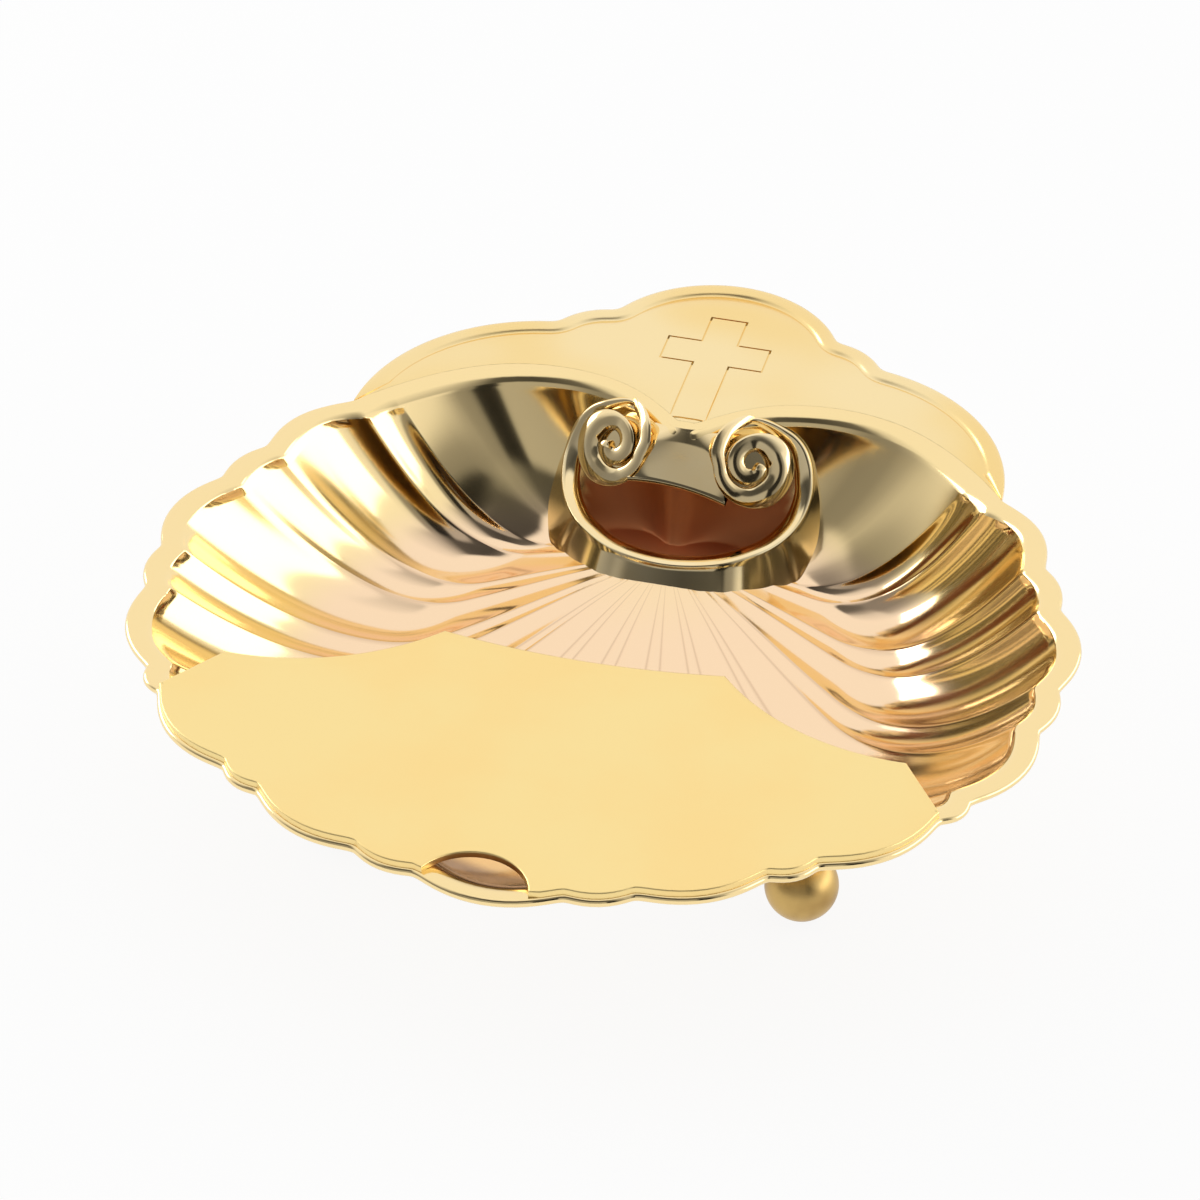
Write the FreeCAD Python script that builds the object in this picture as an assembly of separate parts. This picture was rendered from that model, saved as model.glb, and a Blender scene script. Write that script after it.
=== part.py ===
import FreeCAD, Part
import math
import os

# Baptismal shell: a gold-plated brass scallop dish on three ball feet, with a flat crown to hold it by.
# Millimetres, +Z up, the pouring lip towards -Y and the crown towards +Y.
# The origin is on the table, in the middle of the shell's width and depth.
# A bearing is an angle about the umbo, in degrees: 0 at the pouring lip, positive towards +X.

Vector = FreeCAD.Vector
UP = Vector(0, 0, 1)

# Dish
RIM_REACH = [93.6, 89.2, 82.9, 70.1, 53.5, 41.8, 32.0, 21.0, 10.2, 8.5]  # umbo to the inner rim
REACH_STEP = 20.0          # bearing between two reaches
BOWL_DEPTH = 24.5          # rim to the deepest crease
SHEET = 1.1
FRONT_FLOOR_SHARE = 0.42   # share of the reach where the front wall starts to climb
SIDE_FLOOR_SHARE = 0.48
BACK_FLOOR_SHARE = 0.40
SIDE_BEARING = 60.0        # the front wall has turned into the side wall here
FRONT_WALL_POWER = 1.6     # 1 is a straight slope, higher is rounder and steeper at the rim
SIDE_WALL_POWER = 1.85
BACK_WALL_POWER = 1.6
BACK_WALL_FROM = 88.0      # bearings between which the side wall turns into the back wall
BACK_WALL_FULL = 108.0
UMBO_RISE = 7.5            # how far the floor lifts towards the umbo
UMBO_RISE_RADIUS = 30.0
UMBO_FLAT_RADIUS = 3.0

# Flutes
FRONT_FLUTE = 11.8         # bearing that a flute takes up
NARROW_FLUTES = [5.4, 4.3, 3.5, 6.0, 6.8, 6.0]       # from the front one to the back, on each side
WIDE_FLUTES = [10.8, 11.7, 11.4, 11.9, 14.9, 18.0]   # a wide one behind each narrow one
CROWN_PAIR = 5             # the crown starts behind this pair of a narrow and a wide one
PLAIN_BACKS = 4            # faces without a flute between the last pair and the umbo's back
WIDE_BULGE = 2.0
NARROW_BULGE = 0.9
BULGE_LEVEL_POWER = 4      # how late the bulge turns level on its way to the rim
CROWN_FADE_POWER = 8       # how late the bulge fades out under the crown

# Rim band
RIM_BAND = 3.2
CROWN_BAND = 2.2           # the band is narrower along the crown
CROWN_BAND_FROM = 80.0     # bearings between which it narrows
CROWN_BAND_FULL = 95.0
RIM_THICKNESS = 1.3

# Crown, measured from the umbo
CROWN_REACH = 45.3
MIDDLE_LOBE = Vector(16.6, 34.9, 0)
SIDE_LOBE = Vector(24.3, 29.8, 0)
SIDE_LOBE_BULGE = 1.2
WING_BULGE = 6.4
CROWN_BORDER = 2.3
BORDER_RELIEF = 0.5
CROSS_FOOT = 11.2
CROSS_TOP = 36.8
CROSS_ARM_LOW = 24.9
CROSS_ARM_HIGH = 30.7
CROSS_STEM_HALF = 2.8
CROSS_ARM_HALF = 7.75
GROOVE_WIDTH = 0.3
GROOVE_DEPTH = 0.2

# Umbo: saddle, scrolls and collar, measured from the umbo, with depths down from the rim
COLLAR_BACK = 15.0         # centre of the collar's round
COLLAR_RADIUS = 18.0
COLLAR_WALL = 2.0
COLLAR_FRONT_HEIGHT = 1.5  # above the umbo's floor
COLLAR_SIDE_BACK = 9.0
COLLAR_SIDE_HEIGHT = 4.5   # above the umbo's floor
COLLAR_END_DEPTH = 1.0
SCROLL_INSET = 7.7         # middle of a scroll, in from the side of the collar's round
SCROLL_BACK = 8.6
SCROLL_DEPTH = 5.3
SCROLL_TILT = 30.0         # how far the scrolls lean back
SCROLL_YAW = 30.0          # how far they turn outwards
SCROLL_OUTER = 5.2         # centre line of the tube, at the start and at the end
SCROLL_INNER = 1.0
SCROLL_TUBE = 1.45
SCROLL_TIP = 0.85
SCROLL_TURNS = 1.5
SCROLL_START = 100.0       # degrees above the line to the other scroll
SCROLL_SECTIONS = 14
SCROLL_BOSS_RADIUS = 5.6
SCROLL_BOSS_BACK = 0.4     # the boss's face lies this far behind the tube's centre line
SADDLE_HALF = 7.0
SADDLE_TOP_BACK = 8.2
SADDLE_MIDDLE_BACK = 5.6
SADDLE_LIP_BACK = 4.8
SADDLE_LIP_DEPTH = 10.0
SADDLE_LIP_EDGE = 0.8

# Pouring guard, measured back from the front lip
GUARD_THICKNESS = 1.0
GUARD_INSET = 0.5          # rim left showing in front of the guard
GUARD_PAIR = 2             # the guard ends behind this pair of flutes
GUARD_CENTRE = 50.6
GUARD_PEAK = Vector(19.7, 52.3, 0)
GUARD_FLANK_BULGE = 3.4
GUARD_CORNER = Vector(47.4, 40.3, 0)
NOTCH_RADIUS = 7.7
NOTCH_CENTRE = 0.4
NOTCH_OFFSET = -1.7

# Feet
BALL_DIAMETER = 10.2
BALL_FLAT = 3.0            # diameter of the flat lapped on the bottom
FOOT_SPREAD = 66.1         # between the two front feet
FOOT_BACK = 43.0           # front feet, back from the front lip
NECK_LENGTH = 2.4
NECK_DIAMETER = 4.4
NECK_FLARE = 1.0           # added to the neck's radius at the dish
SHANK_DIAMETER = 2.6
SHANK_LENGTH = 5.0

# Places that follow from the sizes above
FRONT_REACH = RIM_REACH[0] + WIDE_BULGE + RIM_BAND
UMBO_Y = (FRONT_REACH - CROWN_REACH) / 2
FRONT_Y = UMBO_Y - FRONT_REACH
UMBO_DEPTH = BOWL_DEPTH - UMBO_RISE
COLLAR_FRONT_DEPTH = UMBO_DEPTH - COLLAR_FRONT_HEIGHT
COLLAR_SIDE_DEPTH = UMBO_DEPTH - COLLAR_SIDE_HEIGHT
SCROLL_X = COLLAR_RADIUS - SCROLL_INSET

# Steps that a direction is measured over, and the rings of poles from the umbo to the rim
BEARING_STEP = 0.05
SHARE_STEP = 0.005
RINGS = [0, 0.07, 0.16, 0.27, 0.39, 0.51, 0.62, 0.72, 0.81, 0.89, 0.95, 1]


def blend(low, high, value):
    """Smooth step from 0 at low to 1 at high."""
    share = min(max((value - low) / (high - low), 0), 1)
    return share * share * (3 - 2 * share)


def reach(bearing):
    """Distance from the umbo to the inner rim, a smooth curve through RIM_REACH."""
    last = len(RIM_REACH) - 1
    step = min(abs(bearing), 360 - abs(bearing)) / REACH_STEP
    start = min(int(step), last - 1)
    share = step - start
    before = RIM_REACH[abs(start - 1)]
    here = RIM_REACH[start]
    after = RIM_REACH[start + 1]
    beyond = RIM_REACH[last - abs(last - start - 2)]
    slope_here = (after - before) / 2
    slope_after = (beyond - here) / 2
    bend = 3 * (after - here) - 2 * slope_here - slope_after
    twist = slope_here + slope_after - 2 * (after - here)
    return here + slope_here * share + bend * share ** 2 + twist * share ** 3


def dish_depth(bearing, distance):
    """Depth of the plain dish below the rim."""
    turn = abs(bearing)
    to_side = blend(0, SIDE_BEARING, turn)
    to_back = blend(BACK_WALL_FROM, BACK_WALL_FULL, turn)
    floor_share = FRONT_FLOOR_SHARE + (SIDE_FLOOR_SHARE - FRONT_FLOOR_SHARE) * to_side
    floor_share += (BACK_FLOOR_SHARE - SIDE_FLOOR_SHARE) * to_back
    power = FRONT_WALL_POWER + (SIDE_WALL_POWER - FRONT_WALL_POWER) * to_side
    power += (BACK_WALL_POWER - SIDE_WALL_POWER) * to_back
    share = distance / reach(bearing)
    climb = max((share - floor_share) / (1 - floor_share), 0) ** power
    rise = UMBO_RISE * blend(UMBO_RISE_RADIUS, 0, distance)
    return (BOWL_DEPTH - rise) * (1 - climb)


def dish_point(bearing, share):
    """Point of the plain dish, from the umbo's flat (share 0) to the inner rim (share 1), rim at z 0."""
    distance = UMBO_FLAT_RADIUS + (reach(bearing) - UMBO_FLAT_RADIUS) * share
    angle = math.radians(bearing)
    depth = dish_depth(bearing, distance)
    return Vector(distance * math.sin(angle), UMBO_Y - distance * math.cos(angle), -depth)


def dish_normal(bearing, share):
    """Direction out of the dish, through the sheet."""
    along = dish_point(bearing + BEARING_STEP, share) - dish_point(bearing - BEARING_STEP, share)
    across = dish_point(bearing, share + SHARE_STEP) - dish_point(bearing, share - SHARE_STEP)
    return along.cross(across).normalize()


def rim_normal(bearing):
    """Level direction out of the rim's base curve."""
    along = dish_point(bearing + BEARING_STEP, 1) - dish_point(bearing - BEARING_STEP, 1)
    return along.cross(UP).normalize()


def rim_band(bearing):
    return RIM_BAND + (CROWN_BAND - RIM_BAND) * blend(CROWN_BAND_FROM, CROWN_BAND_FULL, abs(bearing))


def flute_edges():
    """Bearing of every crease on one side, from the front flute to the back, and each flute's bulge."""
    bearings = [FRONT_FLUTE / 2]
    bulges = []
    for narrow, wide in zip(NARROW_FLUTES, WIDE_FLUTES):
        bearings.append(bearings[-1] + narrow)
        bulges.append(NARROW_BULGE)
        bearings.append(bearings[-1] + wide)
        bulges.append(WIDE_BULGE)
    plain_step = (180 - bearings[-1]) / PLAIN_BACKS
    for back in range(PLAIN_BACKS):
        bearings.append(bearings[-1] + plain_step)
        bulges.append(0)
    return bearings, bulges


SIDE_BEARINGS, SIDE_BULGES = flute_edges()
CROWN_BEARING = SIDE_BEARINGS[2 * CROWN_PAIR]
GUARD_BEARING = SIDE_BEARINGS[2 * GUARD_PAIR]
FLUTES = [(-SIDE_BEARINGS[0], SIDE_BEARINGS[0], WIDE_BULGE)]
for flute_start, flute_end, flute_bulge in zip(SIDE_BEARINGS, SIDE_BEARINGS[1:], SIDE_BULGES):
    FLUTES.append((flute_start, flute_end, flute_bulge))
    FLUTES.insert(0, (-flute_end, -flute_start, flute_bulge))


def flute_middle(flute, share):
    """Deepest line of a flute: the plain dish pushed out, level at the rim and square to the wall below."""
    start, end, bulge = flute
    middle = (start + end) / 2
    push = dish_normal(middle, share)
    push.z *= 1 - share ** BULGE_LEVEL_POWER
    push.normalize()
    depth = bulge * share
    if abs(middle) > CROWN_BEARING:
        depth *= 1 - share ** CROWN_FADE_POWER
    return dish_point(middle, share) + push * depth


def middle_pole(first, passing, last):
    """Pole of the parabola that starts at first, passes through passing half way and ends at last."""
    return passing * 2 - (first + last) * 0.5


def flute_face(flute, inside):
    """One flute's face, a parabola across and a smooth curve from the umbo to the rim."""
    start, end, bulge = flute
    middle = (start + end) / 2
    rows = [[], [], []]
    for share in RINGS:
        first = dish_point(start, share)
        last = dish_point(end, share)
        passing = flute_middle(flute, share)
        if not inside:
            if share == 1:
                drop = UP * -RIM_THICKNESS
                first += rim_normal(start) * SHEET + drop
                last += rim_normal(end) * SHEET + drop
                passing += rim_normal(middle) * SHEET + drop
            elif share == 0:
                first += UP * -SHEET
                last += UP * -SHEET
                passing += UP * -SHEET
            else:
                first += dish_normal(start, share) * SHEET
                last += dish_normal(end, share) * SHEET
                passing += dish_normal(middle, share) * SHEET
        rows[0].append(first)
        rows[1].append(middle_pole(first, passing, last))
        rows[2].append(last)
    spans = len(RINGS) - 3
    surface = Part.BSplineSurface()
    surface.buildFromPolesMultsKnots(
        rows,
        [3, 3],
        [4] + [1] * (spans - 1) + [4],
        [0, 1],
        list(range(spans + 1)),
        False,
        False,
        2,
        3,
    )
    return surface.toShape()


def rim_edge(flute, offset, drop=0):
    """One flute's stretch of the rim, moved out level from the inner edge by offset(bearing)."""
    start, end, bulge = flute
    middle = (start + end) / 2
    down = UP * -drop
    first = dish_point(start, 1) + rim_normal(start) * offset(start) + down
    last = dish_point(end, 1) + rim_normal(end) * offset(end) + down
    passing = flute_middle(flute, 1) + rim_normal(middle) * offset(middle) + down
    curve = Part.BezierCurve()
    curve.setPoles([first, middle_pole(first, passing, last), last])
    return curve.toShape()


def rim_wire(offset, drop=0):
    return Part.Wire([rim_edge(flute, offset, drop) for flute in FLUTES])


def ring_face(outer, inner):
    return Part.makeFace([outer, inner], "Part::FaceMakerBullseye")


def sewn_solid(faces):
    shell = Part.makeShell(faces)
    shell.sewShape()
    return Part.makeSolid(shell)


def umbo_cap(drop):
    """Level face that closes the middle, where the flutes run out."""
    edges = []
    for flute in FLUTES:
        start, end, bulge = flute
        first = dish_point(start, 0)
        last = dish_point(end, 0)
        passing = flute_middle(flute, 0)
        curve = Part.BezierCurve()
        curve.setPoles([first, middle_pole(first, passing, last), last])
        edges.append(curve.toShape())
    cap = Part.Face(Part.Wire(edges))
    cap.translate(UP * -drop)
    return cap


def no_offset(bearing):
    return 0


def sheet_offset(bearing):
    return SHEET


INNER_FACES = [flute_face(flute, True) for flute in FLUTES] + [umbo_cap(0)]
OUTER_FACES = [flute_face(flute, False) for flute in FLUTES] + [umbo_cap(SHEET)]
CAVITY = sewn_solid(INNER_FACES + [Part.Face(rim_wire(no_offset))])
OUTER_BODY = sewn_solid(OUTER_FACES + [Part.Face(rim_wire(sheet_offset, RIM_THICKNESS))])


def bowl():
    top = ring_face(rim_wire(rim_band), rim_wire(no_offset))
    under = ring_face(rim_wire(rim_band, RIM_THICKNESS), rim_wire(sheet_offset, RIM_THICKNESS))
    edge = [rim_edge(flute, rim_band).extrude(UP * -RIM_THICKNESS) for flute in FLUTES]
    return sewn_solid(INNER_FACES + OUTER_FACES + [top, under] + edge)


def from_umbo(x, back, depth=0):
    return Vector(x, UMBO_Y + back, -depth)


def arc(first, last, bulge):
    """Arc that bulges to the left of the way from first to last."""
    middle = (first + last) * 0.5 + UP.cross(last - first).normalize() * bulge
    return Part.Arc(first, middle, last).toShape()


def line(first, last):
    return Part.LineSegment(first, last).toShape()


def mirrored(point):
    return Vector(-point.x, point.y, point.z)


def crown_outer_edges(right_end):
    """Outer outline of the crown, from its right wing over the middle lobe to its left wing."""
    side = from_umbo(SIDE_LOBE.x, SIDE_LOBE.y)
    middle = from_umbo(MIDDLE_LOBE.x, MIDDLE_LOBE.y)
    middle_bulge = CROWN_REACH - MIDDLE_LOBE.y
    return [
        arc(right_end, side, -WING_BULGE),
        arc(side, middle, -SIDE_LOBE_BULGE),
        arc(middle, mirrored(middle), -middle_bulge),
        arc(mirrored(middle), mirrored(side), -SIDE_LOBE_BULGE),
        arc(mirrored(side), mirrored(right_end), -WING_BULGE),
    ]


def cross_groove():
    corners = [
        (CROSS_STEM_HALF, CROSS_FOOT),
        (CROSS_STEM_HALF, CROSS_ARM_LOW),
        (CROSS_ARM_HALF, CROSS_ARM_LOW),
        (CROSS_ARM_HALF, CROSS_ARM_HIGH),
        (CROSS_STEM_HALF, CROSS_ARM_HIGH),
        (CROSS_STEM_HALF, CROSS_TOP),
    ]
    outline = corners + [(-x, back) for x, back in reversed(corners)]
    points = [from_umbo(x, back) for x, back in outline]
    inner = Part.Face(Part.makePolygon(points + points[:1]))
    outer = inner.makeOffset2D(GROOVE_WIDTH, 2)
    return outer.cut(inner).extrude(UP * -GROOVE_DEPTH)


def crown_plate():
    behind = [flute for flute in FLUTES if abs(flute[0] + flute[1]) / 2 > CROWN_BEARING]
    inner_edges = [rim_edge(flute, rim_band) for flute in behind]
    right_end = dish_point(CROWN_BEARING, 1) + rim_normal(CROWN_BEARING) * rim_band(CROWN_BEARING)
    outer_edges = crown_outer_edges(right_end)
    face = Part.Face(Part.Wire(Part.__sortEdges__(inner_edges + outer_edges)))
    plate = face.extrude(UP * -RIM_THICKNESS)
    closed = Part.Face(Part.Wire(outer_edges + [line(mirrored(right_end), right_end)]))
    border = face.cut(closed.makeOffset2D(-CROWN_BORDER)).extrude(UP * BORDER_RELIEF)
    return plate.fuse(border).removeSplitter().cut(cross_groove())


def collar():
    """U-shaped wall on the floor of the dish, from the back wall round the front of the umbo."""
    foot = from_umbo(0, COLLAR_BACK, BOWL_DEPTH)
    ring = Part.makeCylinder(COLLAR_RADIUS + COLLAR_WALL / 2, BOWL_DEPTH, foot)
    ring = ring.cut(Part.makeCylinder(COLLAR_RADIUS - COLLAR_WALL / 2, BOWL_DEPTH, foot))
    far_front = COLLAR_BACK - COLLAR_RADIUS - COLLAR_WALL
    far_back = COLLAR_BACK + COLLAR_WALL
    half = COLLAR_RADIUS + COLLAR_WALL
    profile = [
        from_umbo(-half, far_front, BOWL_DEPTH),
        from_umbo(-half, far_front, COLLAR_FRONT_DEPTH),
        from_umbo(-half, COLLAR_BACK - COLLAR_RADIUS, COLLAR_FRONT_DEPTH),
        from_umbo(-half, COLLAR_SIDE_BACK, COLLAR_SIDE_DEPTH),
        from_umbo(-half, far_back, COLLAR_END_DEPTH),
        from_umbo(-half, far_back, BOWL_DEPTH),
    ]
    side_view = Part.Face(Part.makePolygon(profile + profile[:1]))
    return ring.common(side_view.extrude(Vector(2 * half, 0, 0))).common(CAVITY)


def scroll(side):
    """Ram's horn: a tapering tube wound inwards, on a round boss that runs back to the wall."""
    tilt = math.radians(SCROLL_TILT)
    yaw = math.radians(SCROLL_YAW)
    to_middle = Vector(-side * math.cos(yaw), -math.sin(yaw), 0)
    to_front = Vector(side * math.sin(yaw), -math.cos(yaw), 0)
    rise = UP * math.cos(tilt) - to_front * math.sin(tilt)
    facing = UP * math.sin(tilt) + to_front * math.cos(tilt)
    centre = from_umbo(side * SCROLL_X, SCROLL_BACK, SCROLL_DEPTH)
    sections = []
    for index in range(SCROLL_SECTIONS + 1):
        share = index / SCROLL_SECTIONS
        angle = math.radians(SCROLL_START - 360 * SCROLL_TURNS * share)
        radius = SCROLL_OUTER + (SCROLL_INNER - SCROLL_OUTER) * share
        tube = SCROLL_TUBE + (SCROLL_TIP - SCROLL_TUBE) * share
        outward = to_middle * math.cos(angle) + rise * math.sin(angle)
        section = Part.Wire(Part.makeCircle(tube))
        turn = FreeCAD.Rotation(outward, facing, outward.cross(facing))
        section.Placement = FreeCAD.Placement(centre + outward * radius, turn)
        sections.append(section)
    horn = Part.makeLoft(sections, True)
    boss_face = centre - facing * SCROLL_BOSS_BACK
    boss = Part.makeCylinder(SCROLL_BOSS_RADIUS, COLLAR_BACK, boss_face, facing * -1).common(CAVITY)
    return horn.fuse(boss)


def saddle(scrolls):
    """Tongue between the scrolls, which falls from the crown's edge to a lip over the umbo's hollow."""
    top = from_umbo(-SADDLE_HALF, SADDLE_TOP_BACK)
    middle = from_umbo(-SADDLE_HALF, SADDLE_MIDDLE_BACK, SADDLE_LIP_DEPTH / 2)
    lip = from_umbo(-SADDLE_HALF, SADDLE_LIP_BACK, SADDLE_LIP_DEPTH)
    lip_under = lip - UP * SADDLE_LIP_EDGE
    back_under = from_umbo(-SADDLE_HALF, COLLAR_BACK, SADDLE_LIP_DEPTH + SADDLE_LIP_EDGE)
    back_top = from_umbo(-SADDLE_HALF, COLLAR_BACK)
    front = Part.Arc(top, middle, lip).toShape()
    rest = Part.makePolygon([lip, lip_under, back_under, back_top, top]).Edges
    block = Part.Face(Part.Wire([front] + rest)).extrude(Vector(2 * SADDLE_HALF, 0, 0)).common(CAVITY)
    for horn in scrolls:
        block = block.cut(horn)
    return max(block.Solids, key=lambda piece: piece.Volume)


def guard_offset(bearing):
    return rim_band(bearing) - GUARD_INSET


def from_front(x, back):
    return Vector(x, FRONT_Y + back, 0)


def pouring_guard():
    """Flat plate on the front rim, with a half-round notch to pour through."""
    covered = [flute for flute in FLUTES if abs(flute[0] + flute[1]) / 2 < GUARD_BEARING]
    front = [rim_edge(flute, guard_offset) for flute in covered]
    tip = dish_point(GUARD_BEARING, 1) + rim_normal(GUARD_BEARING) * guard_offset(GUARD_BEARING)
    corner = from_front(GUARD_CORNER.x, GUARD_CORNER.y)
    peak = from_front(GUARD_PEAK.x, GUARD_PEAK.y)
    middle_bulge = GUARD_PEAK.y - GUARD_CENTRE
    back = [
        line(tip, corner),
        arc(corner, peak, GUARD_FLANK_BULGE),
        arc(peak, mirrored(peak), middle_bulge),
        arc(mirrored(peak), mirrored(corner), GUARD_FLANK_BULGE),
        line(mirrored(corner), mirrored(tip)),
    ]
    plate = Part.Face(Part.Wire(Part.__sortEdges__(front + back))).extrude(UP * GUARD_THICKNESS)
    notch = Part.makeCylinder(NOTCH_RADIUS, GUARD_THICKNESS, from_front(NOTCH_OFFSET, NOTCH_CENTRE))
    return plate.cut(notch)


FRONT_FOOT = from_front(FOOT_SPREAD / 2, FOOT_BACK)
BACK_FOOT = from_umbo(0, 0)
BALL_RADIUS = BALL_DIAMETER / 2
NECK_RADIUS = NECK_DIAMETER / 2
BALL_CENTRE_Z = math.sqrt(BALL_RADIUS ** 2 - (BALL_FLAT / 2) ** 2)
BALL_TOP_Z = BALL_CENTRE_Z + math.sqrt(BALL_RADIUS ** 2 - NECK_RADIUS ** 2)


def under_depth(place):
    """Depth below the rim of the dish's underside over a foot."""
    drill = Part.makeLine(Vector(place.x, place.y, -3 * BOWL_DEPTH), Vector(place.x, place.y, -RIM_THICKNESS))
    return -min(vertex.Z for vertex in drill.common(OUTER_BODY).Vertexes)


# Height of the rim: the front feet, with their necks, carry the dish
RIM_Z = BALL_TOP_Z + NECK_LENGTH + under_depth(FRONT_FOOT)


def ball_foot(place):
    ball = Part.makeSphere(BALL_RADIUS, Vector(place.x, place.y, BALL_CENTRE_Z))
    slab = Part.makeBox(BALL_DIAMETER, BALL_DIAMETER, BALL_TOP_Z)
    slab.translate(Vector(place.x - BALL_RADIUS, place.y - BALL_RADIUS, 0))
    socket_foot = Vector(place.x, place.y, BALL_TOP_Z - SHANK_LENGTH)
    return ball.common(slab).cut(Part.makeCylinder(SHANK_DIAMETER / 2, SHANK_LENGTH, socket_foot))


def foot_stud(place):
    """Turned stud: a flared neck under the dish and a shank in the ball's socket."""
    shank_foot = Vector(place.x, place.y, BALL_TOP_Z - SHANK_LENGTH)
    shank = Part.makeCylinder(SHANK_DIAMETER / 2, SHANK_LENGTH, shank_foot)
    neck_height = RIM_Z - RIM_THICKNESS - BALL_TOP_Z
    flare = NECK_FLARE * neck_height / NECK_LENGTH
    neck_foot = Vector(place.x, place.y, BALL_TOP_Z)
    neck = Part.makeCone(NECK_RADIUS, NECK_RADIUS + flare, neck_height, neck_foot)
    dish = OUTER_BODY.copy()
    dish.translate(UP * RIM_Z)
    neck = min(neck.cut(dish).Solids, key=lambda piece: piece.CenterOfMass.z)
    return neck.fuse(shank)


def save(name, shape):
    solid = shape.Solids[0]
    print(name, "solids", len(shape.Solids), "valid", solid.isValid(), "volume", round(solid.Volume, 1))
    solid.exportStep(os.path.join("parts", name + ".step"))


os.makedirs("parts", exist_ok=True)
LEFT_SCROLL = scroll(-1)
RIGHT_SCROLL = scroll(1)
RIM_PIECES = {
    "bowl": bowl(),
    "crown_plate": crown_plate(),
    "umbo_collar": collar(),
    "left_scroll": LEFT_SCROLL,
    "right_scroll": RIGHT_SCROLL,
    "umbo_saddle": saddle([LEFT_SCROLL, RIGHT_SCROLL]),
    "pouring_guard": pouring_guard(),
}
for piece_name, piece_shape in RIM_PIECES.items():
    piece_shape.translate(UP * RIM_Z)
    save(piece_name, piece_shape)
FEET = {
    "front_left": mirrored(FRONT_FOOT),
    "front_right": FRONT_FOOT,
    "back": BACK_FOOT,
}
for foot_name, foot_place in FEET.items():
    save(foot_name + "_foot", ball_foot(foot_place))
    save(foot_name + "_stud", foot_stud(foot_place))
print("rim height", round(RIM_Z, 2), "umbo y", round(UMBO_Y, 2), "front y", round(FRONT_Y, 2))
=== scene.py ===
import collections
import functools
import math

import bmesh
import bpy
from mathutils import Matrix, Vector


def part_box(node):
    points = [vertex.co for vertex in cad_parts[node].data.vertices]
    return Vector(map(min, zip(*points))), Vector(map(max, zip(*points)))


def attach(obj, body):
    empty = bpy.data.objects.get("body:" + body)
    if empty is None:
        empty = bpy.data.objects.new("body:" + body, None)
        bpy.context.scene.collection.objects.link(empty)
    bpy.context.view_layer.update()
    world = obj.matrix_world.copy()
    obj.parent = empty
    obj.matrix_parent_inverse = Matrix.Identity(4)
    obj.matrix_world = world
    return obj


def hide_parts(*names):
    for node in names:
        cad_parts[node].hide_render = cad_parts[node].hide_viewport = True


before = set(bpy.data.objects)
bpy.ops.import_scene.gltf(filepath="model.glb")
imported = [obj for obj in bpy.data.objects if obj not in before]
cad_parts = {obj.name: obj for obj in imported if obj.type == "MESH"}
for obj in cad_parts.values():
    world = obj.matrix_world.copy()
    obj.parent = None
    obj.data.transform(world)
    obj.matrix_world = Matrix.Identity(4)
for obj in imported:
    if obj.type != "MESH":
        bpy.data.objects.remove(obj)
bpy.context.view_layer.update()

# Dish
# The fluted scallop dish with its rim band is pressed from one brass sheet, then gold plated and
# buffed to a mirror. Its flutes fan out from the umbo at the back, and the wall rolls over into
# the flat band of the rim.
MM = 0.001
UP = Vector((0, 0, 1))
TINY = 0.001 * MM
SOFT_EDGE = math.radians(50)
dish_low, dish_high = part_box("bowl")
RIM_Z = dish_high.z
FRONT_Y = dish_low.y
UMBO_FROM_FRONT = 98.8 * MM
UMBO_Y = FRONT_Y + UMBO_FROM_FRONT
UMBO_FLAT = 3.0 * MM
UMBO_RISE = 7.5 * MM
UMBO_RISE_RADIUS = 42.0 * MM
DISH_DEPTH = 24.5 * MM
SHEET = 1.1 * MM

# From the umbo to the inner rim, at even steps of bearing from the pouring lip to the crown
REACH_STEP = 20.0
REACHES_MM = (93.6, 89.2, 82.9, 70.1, 53.5, 41.8, 32.0, 21.0, 10.2, 8.5)
RIM_REACH = [reach_mm * MM for reach_mm in REACHES_MM]

# The floor's share of that way and the power of the wall's climb change to the sides and the back
SIDE_BEARINGS = (0, 60)
BACK_BEARINGS = (88, 108)
FLOOR_SHARE = 0.42
FLOOR_SIDE_GAIN = 0.06
FLOOR_BACK_LOSS = 0.08
CLIMB_POWER = 1.6
CLIMB_SIDE_GAIN = 0.25
CLIMB_BACK_LOSS = 0.35

# Widths of the flutes in degrees of bearing, and how far they stand out at the rim
FRONT_FLUTE = 11.8
NARROW_FLUTES = (5.4, 4.3, 3.5, 6.0, 6.8, 6.0)
WIDE_FLUTES = (10.8, 11.7, 11.4, 11.9, 14.9, 40.0)
PLAIN_BACKS = 4
WIDE_BULGE = 2.0 * MM
NARROW_BULGE = 0.9 * MM
BACK_BULGE = 0.5 * MM
RIDGE_ROUND = 0.22
SWELL_POWER = 1.5
BACK_FADE_POWER = 8
LEVEL_POWER = 4
GUARD_END_RIDGE = 4
CROWN_START_RIDGE = 10
BEARING_STEP = 0.05
SHARE_STEP = 0.005


def blend(low, high, value):
    """Smooth step from 0 at low to 1 at high."""
    share = min(max((value - low) / (high - low), 0), 1)
    return share * share * (3 - 2 * share)


def smooth_line(before, here, after, beyond, share):
    """A share of the smooth way from here to after, which runs on to the stops on either side."""
    slope_here = (after - before) / 2
    slope_after = (beyond - here) / 2
    bend = 3 * (after - here) - 2 * slope_here - slope_after
    twist = slope_here + slope_after - 2 * (after - here)
    return here + slope_here * share + bend * share ** 2 + twist * share ** 3


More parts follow.
